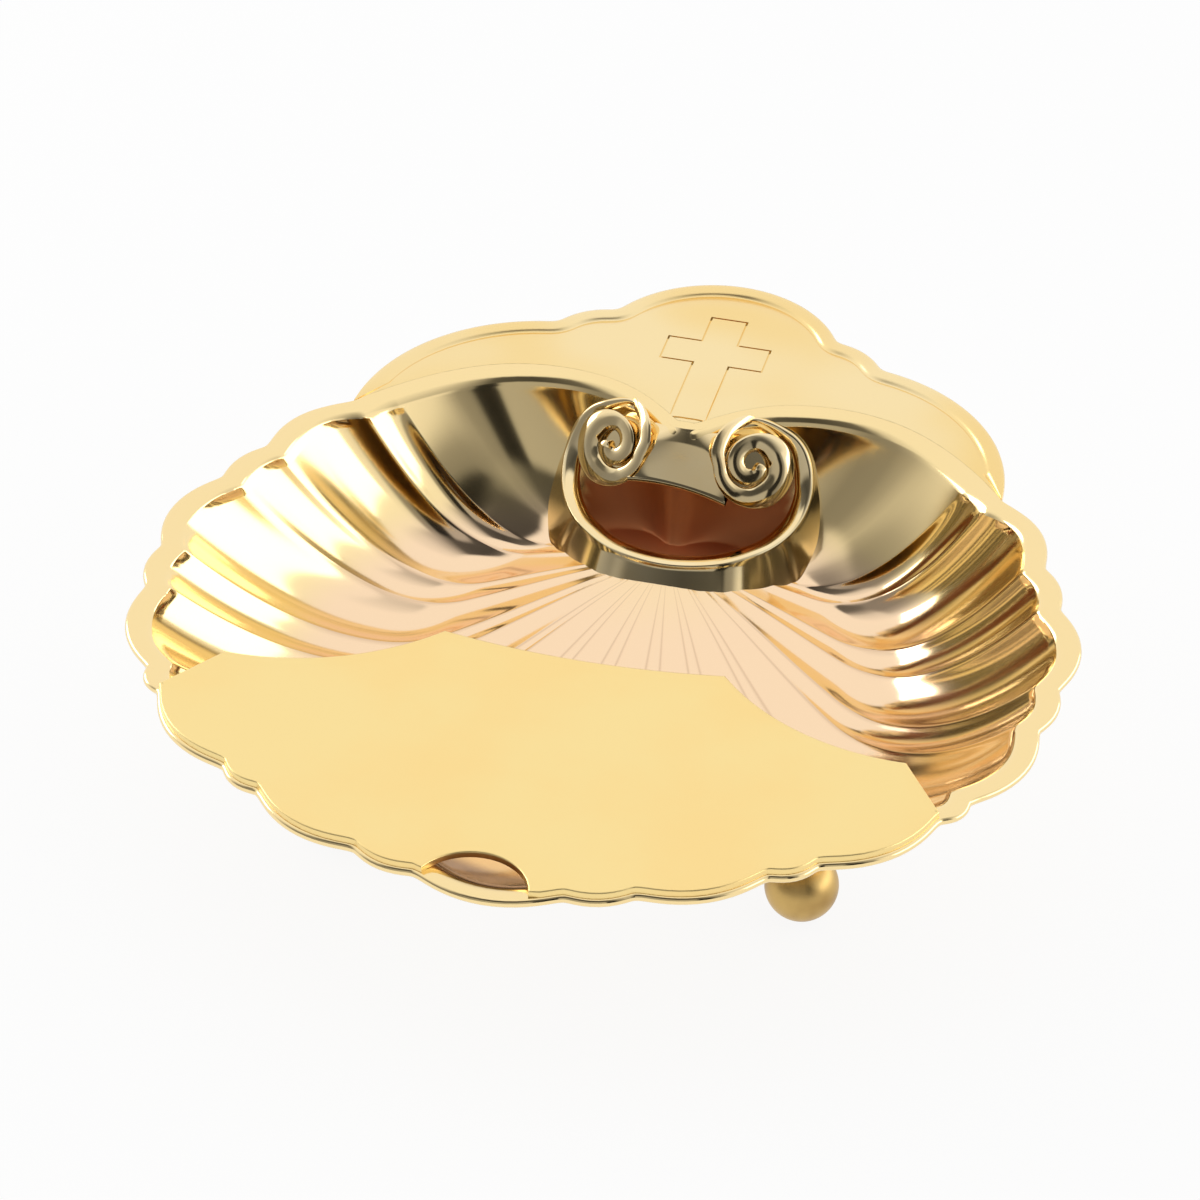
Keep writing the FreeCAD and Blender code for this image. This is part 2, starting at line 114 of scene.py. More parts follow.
@functools.lru_cache(maxsize=None)
def reach(bearing):
    """Distance from the umbo to the inner rim. Bearings are in degrees, 0 at the pouring lip."""
    last = len(RIM_REACH) - 1
    step = min(abs(bearing), 360 - abs(bearing)) / REACH_STEP
    start = min(int(step), last - 1)
    before = RIM_REACH[abs(start - 1)]
    beyond = RIM_REACH[last - abs(last - start - 2)]
    return smooth_line(before, RIM_REACH[start], RIM_REACH[start + 1], beyond, step - start)


def dish_depth(bearing, distance):
    """Depth of the plain dish below the rim."""
    turn = min(abs(bearing), 360 - abs(bearing))
    to_side = blend(*SIDE_BEARINGS, turn)
    to_back = blend(*BACK_BEARINGS, turn)
    floor_share = FLOOR_SHARE + FLOOR_SIDE_GAIN * to_side - FLOOR_BACK_LOSS * to_back
    power = CLIMB_POWER + CLIMB_SIDE_GAIN * to_side - CLIMB_BACK_LOSS * to_back
    climb = max((distance / reach(bearing) - floor_share) / (1 - floor_share), 0) ** power
    rise = UMBO_RISE * blend(UMBO_RISE_RADIUS, 0, distance)
    return (DISH_DEPTH - rise) * (1 - climb)


def dish_point(bearing, share):
    """Point of the plain dish, from the umbo's flat (share 0) to the inner rim (share 1)."""
    distance = UMBO_FLAT + (reach(bearing) - UMBO_FLAT) * share
    angle = math.radians(bearing)
    depth = dish_depth(bearing, distance)
    back = UMBO_Y - distance * math.cos(angle)
    return Vector((distance * math.sin(angle), back, RIM_Z - depth))


def round_the_rim(bearing, share):
    """Direction along the plain dish to higher bearings."""
    return dish_point(bearing + BEARING_STEP, share) - dish_point(bearing - BEARING_STEP, share)


def dish_normal(bearing, share):
    """Direction out of the dish, through the sheet."""
    outwards = dish_point(bearing, share + SHARE_STEP) - dish_point(bearing, share - SHARE_STEP)
    return round_the_rim(bearing, share).cross(outwards).normalized()


side_edges = [FRONT_FLUTE / 2]
side_bulges = []
for narrow, wide in zip(NARROW_FLUTES, WIDE_FLUTES):
    side_edges.append(side_edges[-1] + narrow)
    side_bulges.append(NARROW_BULGE)
    side_edges.append(side_edges[-1] + wide)
    side_bulges.append(WIDE_BULGE)
side_bulges[-1] = BACK_BULGE
plain_step = (180 - side_edges[-1]) / PLAIN_BACKS
for back in range(PLAIN_BACKS):
    side_edges.append(side_edges[-1] + plain_step)
    side_bulges.append(0)
GUARD_BEARING = side_edges[GUARD_END_RIDGE]
CROWN_BEARING = side_edges[CROWN_START_RIDGE]
flutes = [(-side_edges[0], side_edges[0], WIDE_BULGE)]
for flute_start, flute_end, flute_bulge in zip(side_edges, side_edges[1:], side_bulges):
    flutes.append((flute_start, flute_end, flute_bulge))
    flutes.insert(0, (-flute_end, -flute_start, flute_bulge))


@functools.lru_cache(maxsize=None)
def flute_swell(bearing):
    """How far the wall stands out at the rim: a round trough between two rounded ridges."""
    for start, end, bulge in flutes:
        if start <= bearing <= end:
            across = (bearing - start) / (end - start)
            trough = 4 * across * (1 - across)
            rounded = math.hypot(trough, RIDGE_ROUND) - RIDGE_ROUND
            return bulge * rounded / (math.hypot(1, RIDGE_ROUND) - RIDGE_ROUND)
    return 0


def wall_point(bearing, share):
    """Point of the fluted inner wall. Flutes push out level at the rim and fade at the crown."""
    swell = flute_swell(bearing) * share ** SWELL_POWER
    if swell == 0:
        return dish_point(bearing, share)
    if abs(bearing) > CROWN_BEARING:
        swell *= 1 - share ** BACK_FADE_POWER
    push = dish_normal(bearing, share)
    push.z *= 1 - share ** LEVEL_POWER
    return dish_point(bearing, share) + push.normalized() * swell


# The rim's band, its round nose, and the roll from wall to band, which is wider along the crown
# and at the pouring notch
RIM_BAND = 3.17 * MM
CROWN_BAND = 2.2 * MM
CROWN_BAND_BEARINGS = (80, 95)
RIM_THICKNESS = 1.3 * MM
RIM_NOSE = 0.62 * MM
CROWN_NOSE = 0.02 * MM
CROWN_NOSE_BEARINGS = (88, 93)
ROLL_WALL = 1.0 * MM
ROLL_LIP = 1.1 * MM
CROWN_ROLL_WALL = 1.4 * MM
CROWN_ROLL_LIP = 3.6 * MM
CROWN_ROLL_BEARINGS = (84, 97)
NOTCH_ROLL_WALL = 1.4 * MM
NOTCH_ROLL_LIP = 1.0 * MM
NOTCH_ROLL_BEARINGS = (10, 6)
LEAST_INSET = 0.01 * MM
RIM_STEP = 0.01
UNDER_EDGE = SHEET * 1.25
RimSection = collections.namedtuple("RimSection", "corner out start inset drop lip band nose")


@functools.lru_cache(maxsize=None)
def rim_section(bearing):
    """The corner of wall and band at a bearing, and the sizes of the roll, band and nose there."""
    turn = abs(bearing)
    to_crown = blend(*CROWN_ROLL_BEARINGS, turn)
    to_notch = blend(*NOTCH_ROLL_BEARINGS, turn)
    wall_length = ROLL_WALL + CROWN_ROLL_WALL * to_crown + NOTCH_ROLL_WALL * to_notch
    lip = ROLL_LIP + CROWN_ROLL_LIP * to_crown + NOTCH_ROLL_LIP * to_notch
    band = RIM_BAND + (CROWN_BAND - RIM_BAND) * blend(*CROWN_BAND_BEARINGS, turn)
    nose = RIM_NOSE + (CROWN_NOSE - RIM_NOSE) * blend(*CROWN_NOSE_BEARINGS, turn)
    corner = wall_point(bearing, 1)
    out = round_the_rim(bearing, 1).cross(UP).normalized()
    steepness = (corner - wall_point(bearing, 1 - RIM_STEP)).length / RIM_STEP
    start = 1 - wall_length / steepness
    below = wall_point(bearing, start)
    inset = max((corner - below).dot(out), LEAST_INSET)
    return RimSection(corner, out, start, inset, corner.z - below.z, lip, band, nose)


def lip_height(section, offset):
    """Height of the rim's top, 0 or below, at an offset from the corner of wall and band."""
    if offset >= section.lip:
        return 0
    lead = section.lip - section.inset
    ahead = section.inset + offset
    if abs(lead) < TINY:
        share = ahead / (2 * section.inset)
    else:
        share = (math.sqrt(section.inset ** 2 + lead * ahead) - section.inset) / lead
    return -section.drop * (1 - share) ** 2


def bowl_place(bearing, part, value):
    """Place of one corner of the dish's mesh."""
    section = rim_section(bearing)
    if part == "inside":
        return wall_point(bearing, value * section.start)
    if part == "outside":
        return wall_point(bearing, value) + dish_normal(bearing, value) * SHEET
    nose_start = section.band - section.nose
    if part == "top":
        offset = (nose_start + section.inset) * value - section.inset
        height = lip_height(section, offset)
    if part == "nose":
        top = lip_height(section, nose_start)
        offset = nose_start + section.nose * math.cos(value)
        height = (top - RIM_THICKNESS) / 2 + (top + RIM_THICKNESS) / 2 * math.sin(value)
    if part == "under":
        offset = nose_start + (UNDER_EDGE - nose_start) * value
        height = -RIM_THICKNESS
    return section.corner + section.out * offset + UP * height


# Columns of the dish's mesh crowd at the ridges. Its rows run up the wall, over the rim and back
# to the umbo.
WIDE_COLUMNS = 22
NARROW_COLUMNS = 12
PLAIN_COLUMNS = 8
INSIDE_ROWS = 64
TOP_ROWS = 12
TOP_CROWDING = 1.4
NOSE_ROWS = 8
OUTSIDE_ROWS = 40
OUTSIDE_START = 0.985
ring = []
for flute_start, flute_end, flute_bulge in flutes:
    columns = WIDE_COLUMNS
    if flute_bulge == NARROW_BULGE:
        columns = NARROW_COLUMNS
    if flute_bulge == 0:
        columns = PLAIN_COLUMNS
    for column in range(columns):
        across = 0.5 - 0.5 * math.cos(math.pi * column / columns)
        ring.append(flute_start + (flute_end - flute_start) * across)
rows = [("inside", row / INSIDE_ROWS) for row in range(1, INSIDE_ROWS + 1)]
rows += [("top", (row / TOP_ROWS) ** TOP_CROWDING) for row in range(1, TOP_ROWS + 1)]
rows += [("nose", math.radians(90 - 180 * row / NOSE_ROWS)) for row in range(1, NOSE_ROWS + 1)]
rows += [("under", 0.5), ("under", 1)]
rows += [("outside", OUTSIDE_START * (1 - row / OUTSIDE_ROWS)) for row in range(OUTSIDE_ROWS + 1)]


def only_active(piece):
    """Selects one piece and nothing else."""
    bpy.ops.object.select_all(action="DESELECT")
    piece.select_set(True)
    bpy.context.view_layer.objects.active = piece


def turn_faces_out():
    """Points all faces of the piece in hand outwards, and ends its edit."""
    bpy.ops.mesh.select_all(action="SELECT")
    bpy.ops.mesh.normals_make_consistent(inside=False)
    bpy.ops.object.mode_set(mode="OBJECT")


umbo = Vector((0, UMBO_Y, RIM_Z - DISH_DEPTH + UMBO_RISE))
bpy.ops.object.select_all(action="DESELECT")
bpy.ops.mesh.primitive_circle_add(
    vertices=len(ring), radius=UMBO_FLAT, fill_type="TRIFAN", location=umbo)
bpy.ops.object.transform_apply()
dish = bpy.context.object
dish.name = "shell_dish"
bpy.ops.object.mode_set(mode="EDIT")
bpy.ops.mesh.select_mode(type="EDGE")
mesh = bmesh.from_edit_mesh(dish.data)
place_in_ring = mesh.verts.layers.int.new("place_in_ring")
rim_verts = [vert for vert in mesh.verts if vert.is_boundary]
rim_verts.sort(key=lambda vert: math.atan2(vert.co.x, UMBO_Y - vert.co.y))
for index, vert in enumerate(rim_verts):
    vert[place_in_ring] = index
    vert.co = dish_point(ring[index], 0)
for edge in mesh.edges:
    edge.select_set(edge.is_boundary)
bmesh.update_edit_mesh(dish.data)
for part, value in rows:
    bpy.ops.mesh.extrude_region_move()
    mesh = bmesh.from_edit_mesh(dish.data)
    place_in_ring = mesh.verts.layers.int["place_in_ring"]
    for vert in mesh.verts:
        if vert.select:
            vert.co = bowl_place(ring[vert[place_in_ring]], part, value)
    bmesh.update_edit_mesh(dish.data)
bpy.ops.mesh.extrude_region_move()
bpy.ops.mesh.merge(type="CENTER")
turn_faces_out()
places = [item.value for item in dish.data.attributes["place_in_ring"].data]
dish.data.attributes.remove(dish.data.attributes["place_in_ring"])

# Marks on the inner face that the material reads, all for painted shade: lines along the ridges,
# the pocket at the umbo, the pour notch
# Width in degrees of bearing of the painted shade lines along the ridges
RIDGE_MARK = 0.8
# Where the painted shade of the pocket lies, and from what depth it comes in
POCKET_MIDDLE = UMBO_Y + 10.5 * MM
POCKET_HALF_WIDTH = 16.0 * MM
POCKET_HALF_LENGTH = 12.5 * MM
POCKET_EDGE = (1.02, 0.92)
POCKET_DEPTHS = (5.5 * MM, 8 * MM)
# Where the painted shade inside the pour notch lies, and from what depth it comes in
NOTCH_HOLLOW = Vector((0, FRONT_Y + 4 * MM, RIM_Z - 4 * MM))
NOTCH_EDGE = (16 * MM, 9 * MM)
NOTCH_DEPTHS = (0.05 * MM, 0.4 * MM)
ridge_marks = []
for bearing in ring:
    from_ridge = min(abs(bearing - start) for start, end, bulge in flutes)
    ridge_marks.append(blend(RIDGE_MARK, 0, from_ridge))
MARKS = ("ridge", "pocket", "notch")
for mark in MARKS:
    dish.data.attributes.new(mark, "FLOAT", "POINT")
marks = {mark: dish.data.attributes[mark].data for mark in MARKS}
for vert, index in zip(dish.data.vertices, places):
    if vert.normal.z > 0:
        depth = RIM_Z - vert.co.z
        behind = (vert.co.y - POCKET_MIDDLE) / POCKET_HALF_LENGTH
        from_pocket = math.hypot(vert.co.x / POCKET_HALF_WIDTH, behind)
        in_pocket = blend(*POCKET_EDGE, from_pocket) * blend(*POCKET_DEPTHS, depth)
        marks["ridge"][vert.index].value = ridge_marks[index]
        marks["pocket"][vert.index].value = in_pocket
        if vert.normal.y > 0:
            in_notch = blend(*NOTCH_EDGE, (vert.co - NOTCH_HOLLOW).length)
            marks["notch"][vert.index].value = in_notch * blend(*NOTCH_DEPTHS, depth)
only_active(dish)
bpy.ops.object.shade_smooth_by_angle(angle=SOFT_EDGE)


class Socket:
    """An output of a shader node, so that shader maths is written as plain arithmetic."""

    def __init__(self, tree, output=None):
        self.tree = tree
        self.output = output

    def node(self, kind, settings, inputs, output=0):
        """Adds a node, sets it up, then gives its sockets their values or links."""
        made = self.tree.nodes.new(kind)
        for name, value in settings.items():
            if name == "stops":
                ramp = made.color_ramp.elements
                while len(ramp) < len(value):
                    ramp.new(1.0)
                for stop, (position, colour) in zip(ramp, value):
                    stop.position = position
                    stop.color = (*colour, 1)
            else:
                setattr(made, name, value)
        for name, value in inputs.items():
            if isinstance(value, Socket):
                self.tree.links.new(value.output, made.inputs[name])
            else:
                made.inputs[name].default_value = value
        return Socket(self.tree, made.outputs[output])

    def maths(self, operation, first, second):
        """Adds a Math node."""
        return self.node("ShaderNodeMath", {"operation": operation}, {0: first, 1: second})

    def __add__(self, other):
        return self.maths("ADD", self, other)

    def __radd__(self, other):
        return self.maths("ADD", other, self)

    def __sub__(self, other):
        return self.maths("SUBTRACT", self, other)

    def __rsub__(self, other):
        return self.maths("SUBTRACT", other, self)

    def __mul__(self, other):
        return self.maths("MULTIPLY", self, other)

    def __rmul__(self, other):
        return self.maths("MULTIPLY", other, self)

    def between(self, low, high):
        """Smooth 0 to 1 as the value goes from low to high."""
        settings = {"interpolation_type": "SMOOTHSTEP"}
        inputs = {"Value": self, "From Min": low, "From Max": high}
        return self.node("ShaderNodeMapRange", settings, inputs)

    def mixed(self, first, second):
        """Goes from one colour to another by this factor."""
        inputs = {"Factor": self, 6: first, 7: second}
        return self.node("ShaderNodeMix", {"data_type": "RGBA"}, inputs, 2)

    def noise(self, scale, detail):
        """Soft clouds, from this place."""
        inputs = {"Vector": self, "Scale": scale, "Detail": detail}
        return self.node("ShaderNodeTexNoise", {}, inputs)

    def attribute(self, name):
        """A value that the mesh holds at each of its points."""
        return self.node("ShaderNodeAttribute", {"attribute_name": name}, {}, "Fac")


def start_finish(name):
    """A new metal with its shader, and the place on the piece that its patterns read."""
    material = bpy.data.materials.new(name)
    material.use_nodes = True
    tree = material.node_tree
    shader = tree.nodes["Principled BSDF"]
    shader.inputs["Metallic"].default_value = 1
    place = Socket(tree).node("ShaderNodeTexCoord", {}, {}, "Object")
    return material, shader, place


def connect(shader, name, value):
    """Links a value to one of a shader's sockets."""
    value.tree.links.new(value.output, shader.inputs[name])


WALL_GOLD = (0.95, 0.74, 0.38, 1)
# Gold of the dish's floor, paler and pinker: a painted reflection of the bright light above it
FLOOR_PAINTED_REFLECTION = (0.96, 0.71, 0.47, 1)
# Dark copper-red painted shade in the deep pocket at the umbo
POCKET_PAINTED_SHADE = (0.62, 0.24, 0.10, 1)
# Painted shade along the flute ridges on the floor
RIDGE_PAINTED_SHADE = (0.62, 0.42, 0.27, 1)
# Near-black copper painted shade inside the pouring notch
NOTCH_PAINTED_SHADE = (0.17, 0.07, 0.025, 1)
# Depths below the rim over which the floor's painted reflection comes in
FLOOR_TINT_FROM = RIM_Z - 14 * MM
FLOOR_TINT_FULL = RIM_Z - 20 * MM
# How strong the painted shade lines along the ridges are
RIDGE_STRENGTH = 0.5
MIRROR_ROUGHNESS = 0.09
MIRROR_CLOUDS = 0.05
POCKET_ROUGHNESS = 0.45
polished, shader, place = start_finish("mirror_polished_gold")
height = place.node("ShaderNodeSeparateXYZ", {}, {"Vector": place}, "Z")
cloud = place.noise(scale=60.0, detail=3.0)
on_floor = height.between(FLOOR_TINT_FROM, FLOOR_TINT_FULL)
pocket = place.attribute("pocket")
# Painted reflection on the floor of the dish
colour = on_floor.mixed(WALL_GOLD, FLOOR_PAINTED_REFLECTION)
# Painted shade lines along the ridges, on the floor only
colour = (on_floor * place.attribute("ridge") * RIDGE_STRENGTH).mixed(colour, RIDGE_PAINTED_SHADE)
# Painted shade inside the pour notch
colour = place.attribute("notch").mixed(colour, NOTCH_PAINTED_SHADE)
# Painted shade darkens the pocket at the umbo
connect(shader, "Base Color", pocket.mixed(colour, POCKET_PAINTED_SHADE))
roughness = MIRROR_ROUGHNESS + cloud * MIRROR_CLOUDS + pocket * POCKET_ROUGHNESS
connect(shader, "Roughness", roughness)
dish.data.materials.append(polished)
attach(dish, "root")
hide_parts("bowl")

# Crown
# The lobed flat plate at the back that the shell is held by: brass, soldered flush behind the rim,
# gold plated. It has a raised round border, its inner edge rolls down into the back wall, and a
# cross is engraved in outline.
CROWN_REACH = 45.3 * MM
MIDDLE_LOBE = Vector((16.6 * MM, 34.9 * MM, 0))
SIDE_LOBE = Vector((24.3 * MM, 29.8 * MM, 0))
SIDE_LOBE_BULGE = 1.2 * MM
WING_BULGE = 6.4 * MM
WING_STEPS = 80
SIDE_LOBE_STEPS = 30
MIDDLE_LOBE_STEPS = 90
INNER_STEPS = 400
CUSP_PASSES = 4
CROWN_COLUMNS = 260
rim_origin = Vector((0, UMBO_Y, RIM_Z))


def mirrored(point):
    """The same point on the other side of the shell."""
    return Vector((-point.x, point.y, point.z))


def from_umbo(point):
    """Bearing of a point from the umbo, and its level distance."""
    bearing = math.degrees(math.atan2(point.x, UMBO_Y - point.y))
    return bearing, math.hypot(point.x, point.y - UMBO_Y)


def rim_edge_point(bearing, inset):
    """Point on the rim band, at an inset from its outer edge."""
    section = rim_section(bearing)
    return section.corner + section.out * (section.band - inset)


def arc_points(first, last, bulge, count):
    """Points of an arc that bulges to the right of the way from first to last, without the last."""
    chord = last - first
    half = chord.length / 2
    radius = (half ** 2 + bulge ** 2) / (2 * bulge)
    side = chord.cross(UP).normalized()
    centre = (first + last) / 2 + side * (bulge - radius)
    spread = 2 * math.asin(min(half / abs(radius), 1))
    if abs(bulge) > half:
        spread = 2 * math.pi - spread
    points = []
    start_arm = first - centre
    for step in range(count):
        turn = spread * step / count * (1 if bulge > 0 else -1)
        arm = Vector((
            start_arm.x * math.cos(turn) - start_arm.y * math.sin(turn),
            start_arm.x * math.sin(turn) + start_arm.y * math.cos(turn),
            0,
        ))
        points.append(centre + arm)
    return points


def evenly(points, count):
    """The same open line with count points an even distance apart."""
    lengths = [0]
    for first, second in zip(points, points[1:]):
        lengths.append(lengths[-1] + (second - first).length)
    spaced = []
    segment = 0
    for index in range(count):
        target = lengths[-1] * index / (count - 1)
        while segment < len(points) - 2 and lengths[segment + 1] < target:
            segment += 1
        share = (target - lengths[segment]) / (lengths[segment + 1] - lengths[segment])
        spaced.append(points[segment].lerp(points[segment + 1], min(max(share, 0), 1)))
    return spaced


def softened(points, passes):
    """Rounds the cusps of an open line, and leaves its ends where they are."""
    for _ in range(passes):
        middle = [
            (before + 2 * here + after) / 4
            for before, here, after in zip(points, points[1:], points[2:])
        ]
        points = [points[0], *middle, points[-1]]
    return points


inner_line = []
for step in range(INNER_STEPS + 1):
    bearing = CROWN_BEARING + (360 - 2 * CROWN_BEARING) * step / INNER_STEPS
    if bearing > 180:
        bearing -= 360
    inner_line.append(rim_edge_point(bearing, 0))
inner_line = evenly(inner_line, CROWN_COLUMNS + 1)
right_tip = inner_line[0].copy()
side_cusp = rim_origin + SIDE_LOBE
middle_cusp = rim_origin + MIDDLE_LOBE
middle_bulge = CROWN_REACH - MIDDLE_LOBE.y
outer_line = arc_points(right_tip, side_cusp, WING_BULGE, WING_STEPS)
outer_line += arc_points(side_cusp, middle_cusp, SIDE_LOBE_BULGE, SIDE_LOBE_STEPS)
outer_line += arc_points(middle_cusp, mirrored(middle_cusp), middle_bulge, MIDDLE_LOBE_STEPS)
outer_line += arc_points(
    mirrored(middle_cusp), mirrored(side_cusp), SIDE_LOBE_BULGE, SIDE_LOBE_STEPS)
outer_line += arc_points(mirrored(side_cusp), mirrored(right_tip), WING_BULGE, WING_STEPS)
outer_line.append(mirrored(right_tip))
outer_line = softened(evenly(outer_line, CROWN_COLUMNS + 1), CUSP_PASSES)

# Rows across the crown's border, from its foot out and round its edge: inset and height in
# millimetres. Where the crown narrows to its tips, the border shrinks with it, down to EDGE_TOP.
BORDER_ROWS = [
    (3.0, 0.0), (2.85, -0.08), (2.7, -0.12), (2.55, -0.05), (2.35, 0.14), (2.1, 0.32),
    (1.85, 0.43), (1.45, 0.49), (1.0, 0.5), (0.6, 0.44), (0.3, 0.3), (0.1, 0.08), (0.0, -0.25),
    (0.0, -0.8), (0.12, -1.1), (0.4, -1.3),
]
EDGE_TOP = -0.2
FULL_BORDER = 3.4 * MM
PLATE_ROWS = 14
PLATE_CROWDING = 1.5
crown_rows = [("plate", (row / PLATE_ROWS) ** PLATE_CROWDING) for row in range(PLATE_ROWS + 1)]
crown_rows += [("border", border) for border in BORDER_ROWS]
crown_rows += [("under", 0.5), ("under", 1), ("plate", 0)]


def crown_place(column, row):
    """Place of one corner of the crown's mesh."""
    kind, value = crown_rows[row]
    inner = inner_line[column]
    outer = outer_line[column]
    before = outer_line[max(column - 2, 0)]
    after = outer_line[min(column + 2, CROWN_COLUMNS)]
    inward = UP.cross(after - before).normalized()
    across = inner - outer
    width = across.length
    fullness = min(width / FULL_BORDER, 1)
    if width > 0:
        inward = (inward * fullness + across.normalized() * (1 - fullness)).normalized()
    if kind == "border":
        inset, rise = value
        lift = rise * MM * (fullness if rise > EDGE_TOP else 1)
        return outer + inward * (inset * MM * fullness) + UP * lift
    foot = outer + inward * (BORDER_ROWS[0][0] * MM * fullness)
    if kind == "under":
        edge = outer + inward * (BORDER_ROWS[-1][0] * MM * fullness)
        return edge.lerp(inner, value) - UP * RIM_THICKNESS
    point = inner.lerp(foot, value)
    section = rim_section(from_umbo(inner)[0])
    return point + UP * lip_height(section, section.band + (point - inner).length)


def shaped_grid(name, columns, row_count, place_of):
    """Adds a grid and moves each of its corners to place_of(column, row)."""
    bpy.ops.object.select_all(action="DESELECT")
    bpy.ops.mesh.primitive_grid_add(x_subdivisions=columns, y_subdivisions=row_count, size=2)
    piece = bpy.context.object
    piece.name = name
    for vert in piece.data.vertices:
        column = round((vert.co.x + 1) / 2 * columns)
        row = round((vert.co.y + 1) / 2 * row_count)
        vert.co = place_of(column, row)
    return piece


def merge_and_turn_out(piece, distance):
    """Closes the seams of a mesh and points its faces outwards."""
    only_active(piece)
    bpy.ops.object.mode_set(mode="EDIT")
    bpy.ops.mesh.select_all(action="SELECT")
    bpy.ops.mesh.remove_doubles(threshold=distance)
    turn_faces_out()


CROWN_SEAM = 0.01 * MM
crown = shaped_grid("crown_grip", CROWN_COLUMNS, len(crown_rows) - 1, crown_place)
merge_and_turn_out(crown, CROWN_SEAM)

# The graver's outline of the cross, cut into the crown: corners of its right half in millimetres,
# to the right of the middle and behind the umbo
CROSS_CORNERS = [
    (2.8, 11.2), (2.8, 24.9), (7.75, 24.9), (7.75, 30.7), (2.8, 30.7), (2.8, 36.8),
]
GROOVE_WIDTH = 0.3 * MM
GROOVE_DEPTH = 0.35 * MM
GRAVER_HEIGHT = 2 * MM
cross_outline = []
for x, back in CROSS_CORNERS + [(-x, back) for x, back in reversed(CROSS_CORNERS)]:
    cross_outline.append(rim_origin + Vector((x * MM, back * MM, -GROOVE_DEPTH)))


def flat_face(corners):
    """Adds a flat face with these corners, and starts its edit with all of it selected."""
    bpy.ops.object.select_all(action="DESELECT")
    bpy.ops.mesh.primitive_circle_add(vertices=len(corners), radius=1, fill_type="NGON")
    piece = bpy.context.object
    for vert, corner in zip(piece.data.vertices, corners):
        vert.co = corner
    bpy.ops.object.mode_set(mode="EDIT")
    bpy.ops.mesh.select_all(action="SELECT")
    return piece


graver = flat_face(cross_outline)
bpy.ops.mesh.normals_make_consistent(inside=False)
bpy.ops.mesh.inset(thickness=GROOVE_WIDTH, use_even_offset=True)
bpy.ops.mesh.select_mode(type="FACE")
mesh = bmesh.from_edit_mesh(graver.data)
largest = max(mesh.faces, key=lambda face: face.calc_area())
for face in mesh.faces:
    face.select_set(face is largest)
bmesh.update_edit_mesh(graver.data)
bpy.ops.mesh.delete(type="FACE")
bpy.ops.mesh.select_all(action="SELECT")
bpy.ops.mesh.extrude_region_move(TRANSFORM_OT_translate={"value": (0, 0, GRAVER_HEIGHT)})
turn_faces_out()
only_active(crown)
cut = crown.modifiers.new("engraving", "BOOLEAN")
cut.operation = "DIFFERENCE"
cut.solver = "EXACT"
cut.object = graver
bpy.ops.object.modifier_apply(modifier="engraving")
bpy.data.objects.remove(graver)
bpy.ops.object.shade_smooth_by_angle(angle=SOFT_EDGE)

CROWN_GOLD = (0.925, 0.675, 0.285, 1)
CROWN_CREAM = (0.94, 0.75, 0.41, 1)


def clouded_gold(name, scale, detail, edges, colours, roughness, clouds):
    """A gold whose colour and roughness change in soft clouds."""
    material, shader, place = start_finish(name)
    cloud = place.noise(scale, detail)
    connect(shader, "Base Color", cloud.between(*edges).mixed(*colours))
    connect(shader, "Roughness", roughness + cloud * clouds)
    return material


burnished = clouded_gold(
    "burnished_flat_gold", scale=30.0, detail=2.0, edges=(0.4, 0.7),
    colours=(CROWN_GOLD, CROWN_CREAM), roughness=0.16, clouds=0.08)
crown.data.materials.append(burnished)
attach(crown, "root")
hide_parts("crown_plate")

# Collar
# A low U-shaped wall of brass strip with a rounded top, bent round the umbo and soldered to the
# dish's floor. Its two arms climb the back wall outside the scrolls and curl over them to the
# crown's rolled edge.
COLLAR_COLUMNS = 220
COLLAR_HALF = 1.4 * MM
ARM_TIP = 0.4
ARM_TAPER = 0.25
ARM_LEAN = (0.32, 0.16)
COLLAR_FLARE = 0.9
COLLAR_SIDE_FLARE = 0.4
FLARE_SIDES = (13 * MM, 4 * MM)
FLARE_ARMS = (0.1, 0.35)
SHOULDER = 0.45
SKIRT_TOP = 0.12
DEEPEST_FOOT = 9 * MM
WALL_BITE = 0.7 * MM
SINK_STEP = 0.1 * MM
LINE_STEP = 0.004
WALL_SHARES = (0.05, 0.95)
# The right half of the ridge's line, in millimetres: to the right, behind the umbo, below the rim
COLLAR_PATH = [
    (0.0, -2.7, 14.9), (7.0, -1.4, 14.7), (11.8, 1.7, 14.3), (14.6, 4.6, 13.7),
    (16.5, 8.0, 12.4), (17.2, 11.0, 10.2), (16.9, 12.9, 7.8), (16.0, 13.9, 5.6),
    (14.6, 14.4, 3.9), (12.9, 14.4, 2.6), (11.2, 14.4, 1.7), (9.6, 14.3, 1.2), (8.2, 13.7, 1.1),
]
collar_stops = [rim_origin + Vector((x, back, -depth)) * MM for x, back, depth in COLLAR_PATH]
collar_stops = [mirrored(stop) for stop in reversed(collar_stops[1:])] + collar_stops


def along(stops, share):
    """Point at a share of a smooth line through all the stops."""
    last = len(stops) - 1
    step = share * last
    start = min(max(int(step), 0), last - 1)
    before = stops[max(start - 1, 0)]
    beyond = stops[min(start + 2, last)]
    return smooth_line(before, stops[start], stops[start + 1], beyond, step - start)


def heading(stops, share):
    """Direction of the smooth line through all the stops."""
    return along(stops, min(share + LINE_STEP, 1)) - along(stops, max(share - LINE_STEP, 0))


def in_the_dish(point):
    """True in the dish's hollow and a little way into its wall."""
    bearing, distance = from_umbo(point)
    inside = max(distance - WALL_BITE, 0)
    floor = RIM_Z - dish_depth(bearing, inside) - WALL_BITE
    return inside < reach(bearing) and point.z > floor


def sunk(point, direction, longest):
    """Moves a point along a direction until it is in the dish's wall."""
    spot = point.copy()
    while in_the_dish(spot) and (spot - point).length < longest:
        spot += direction * SINK_STEP
    return spot


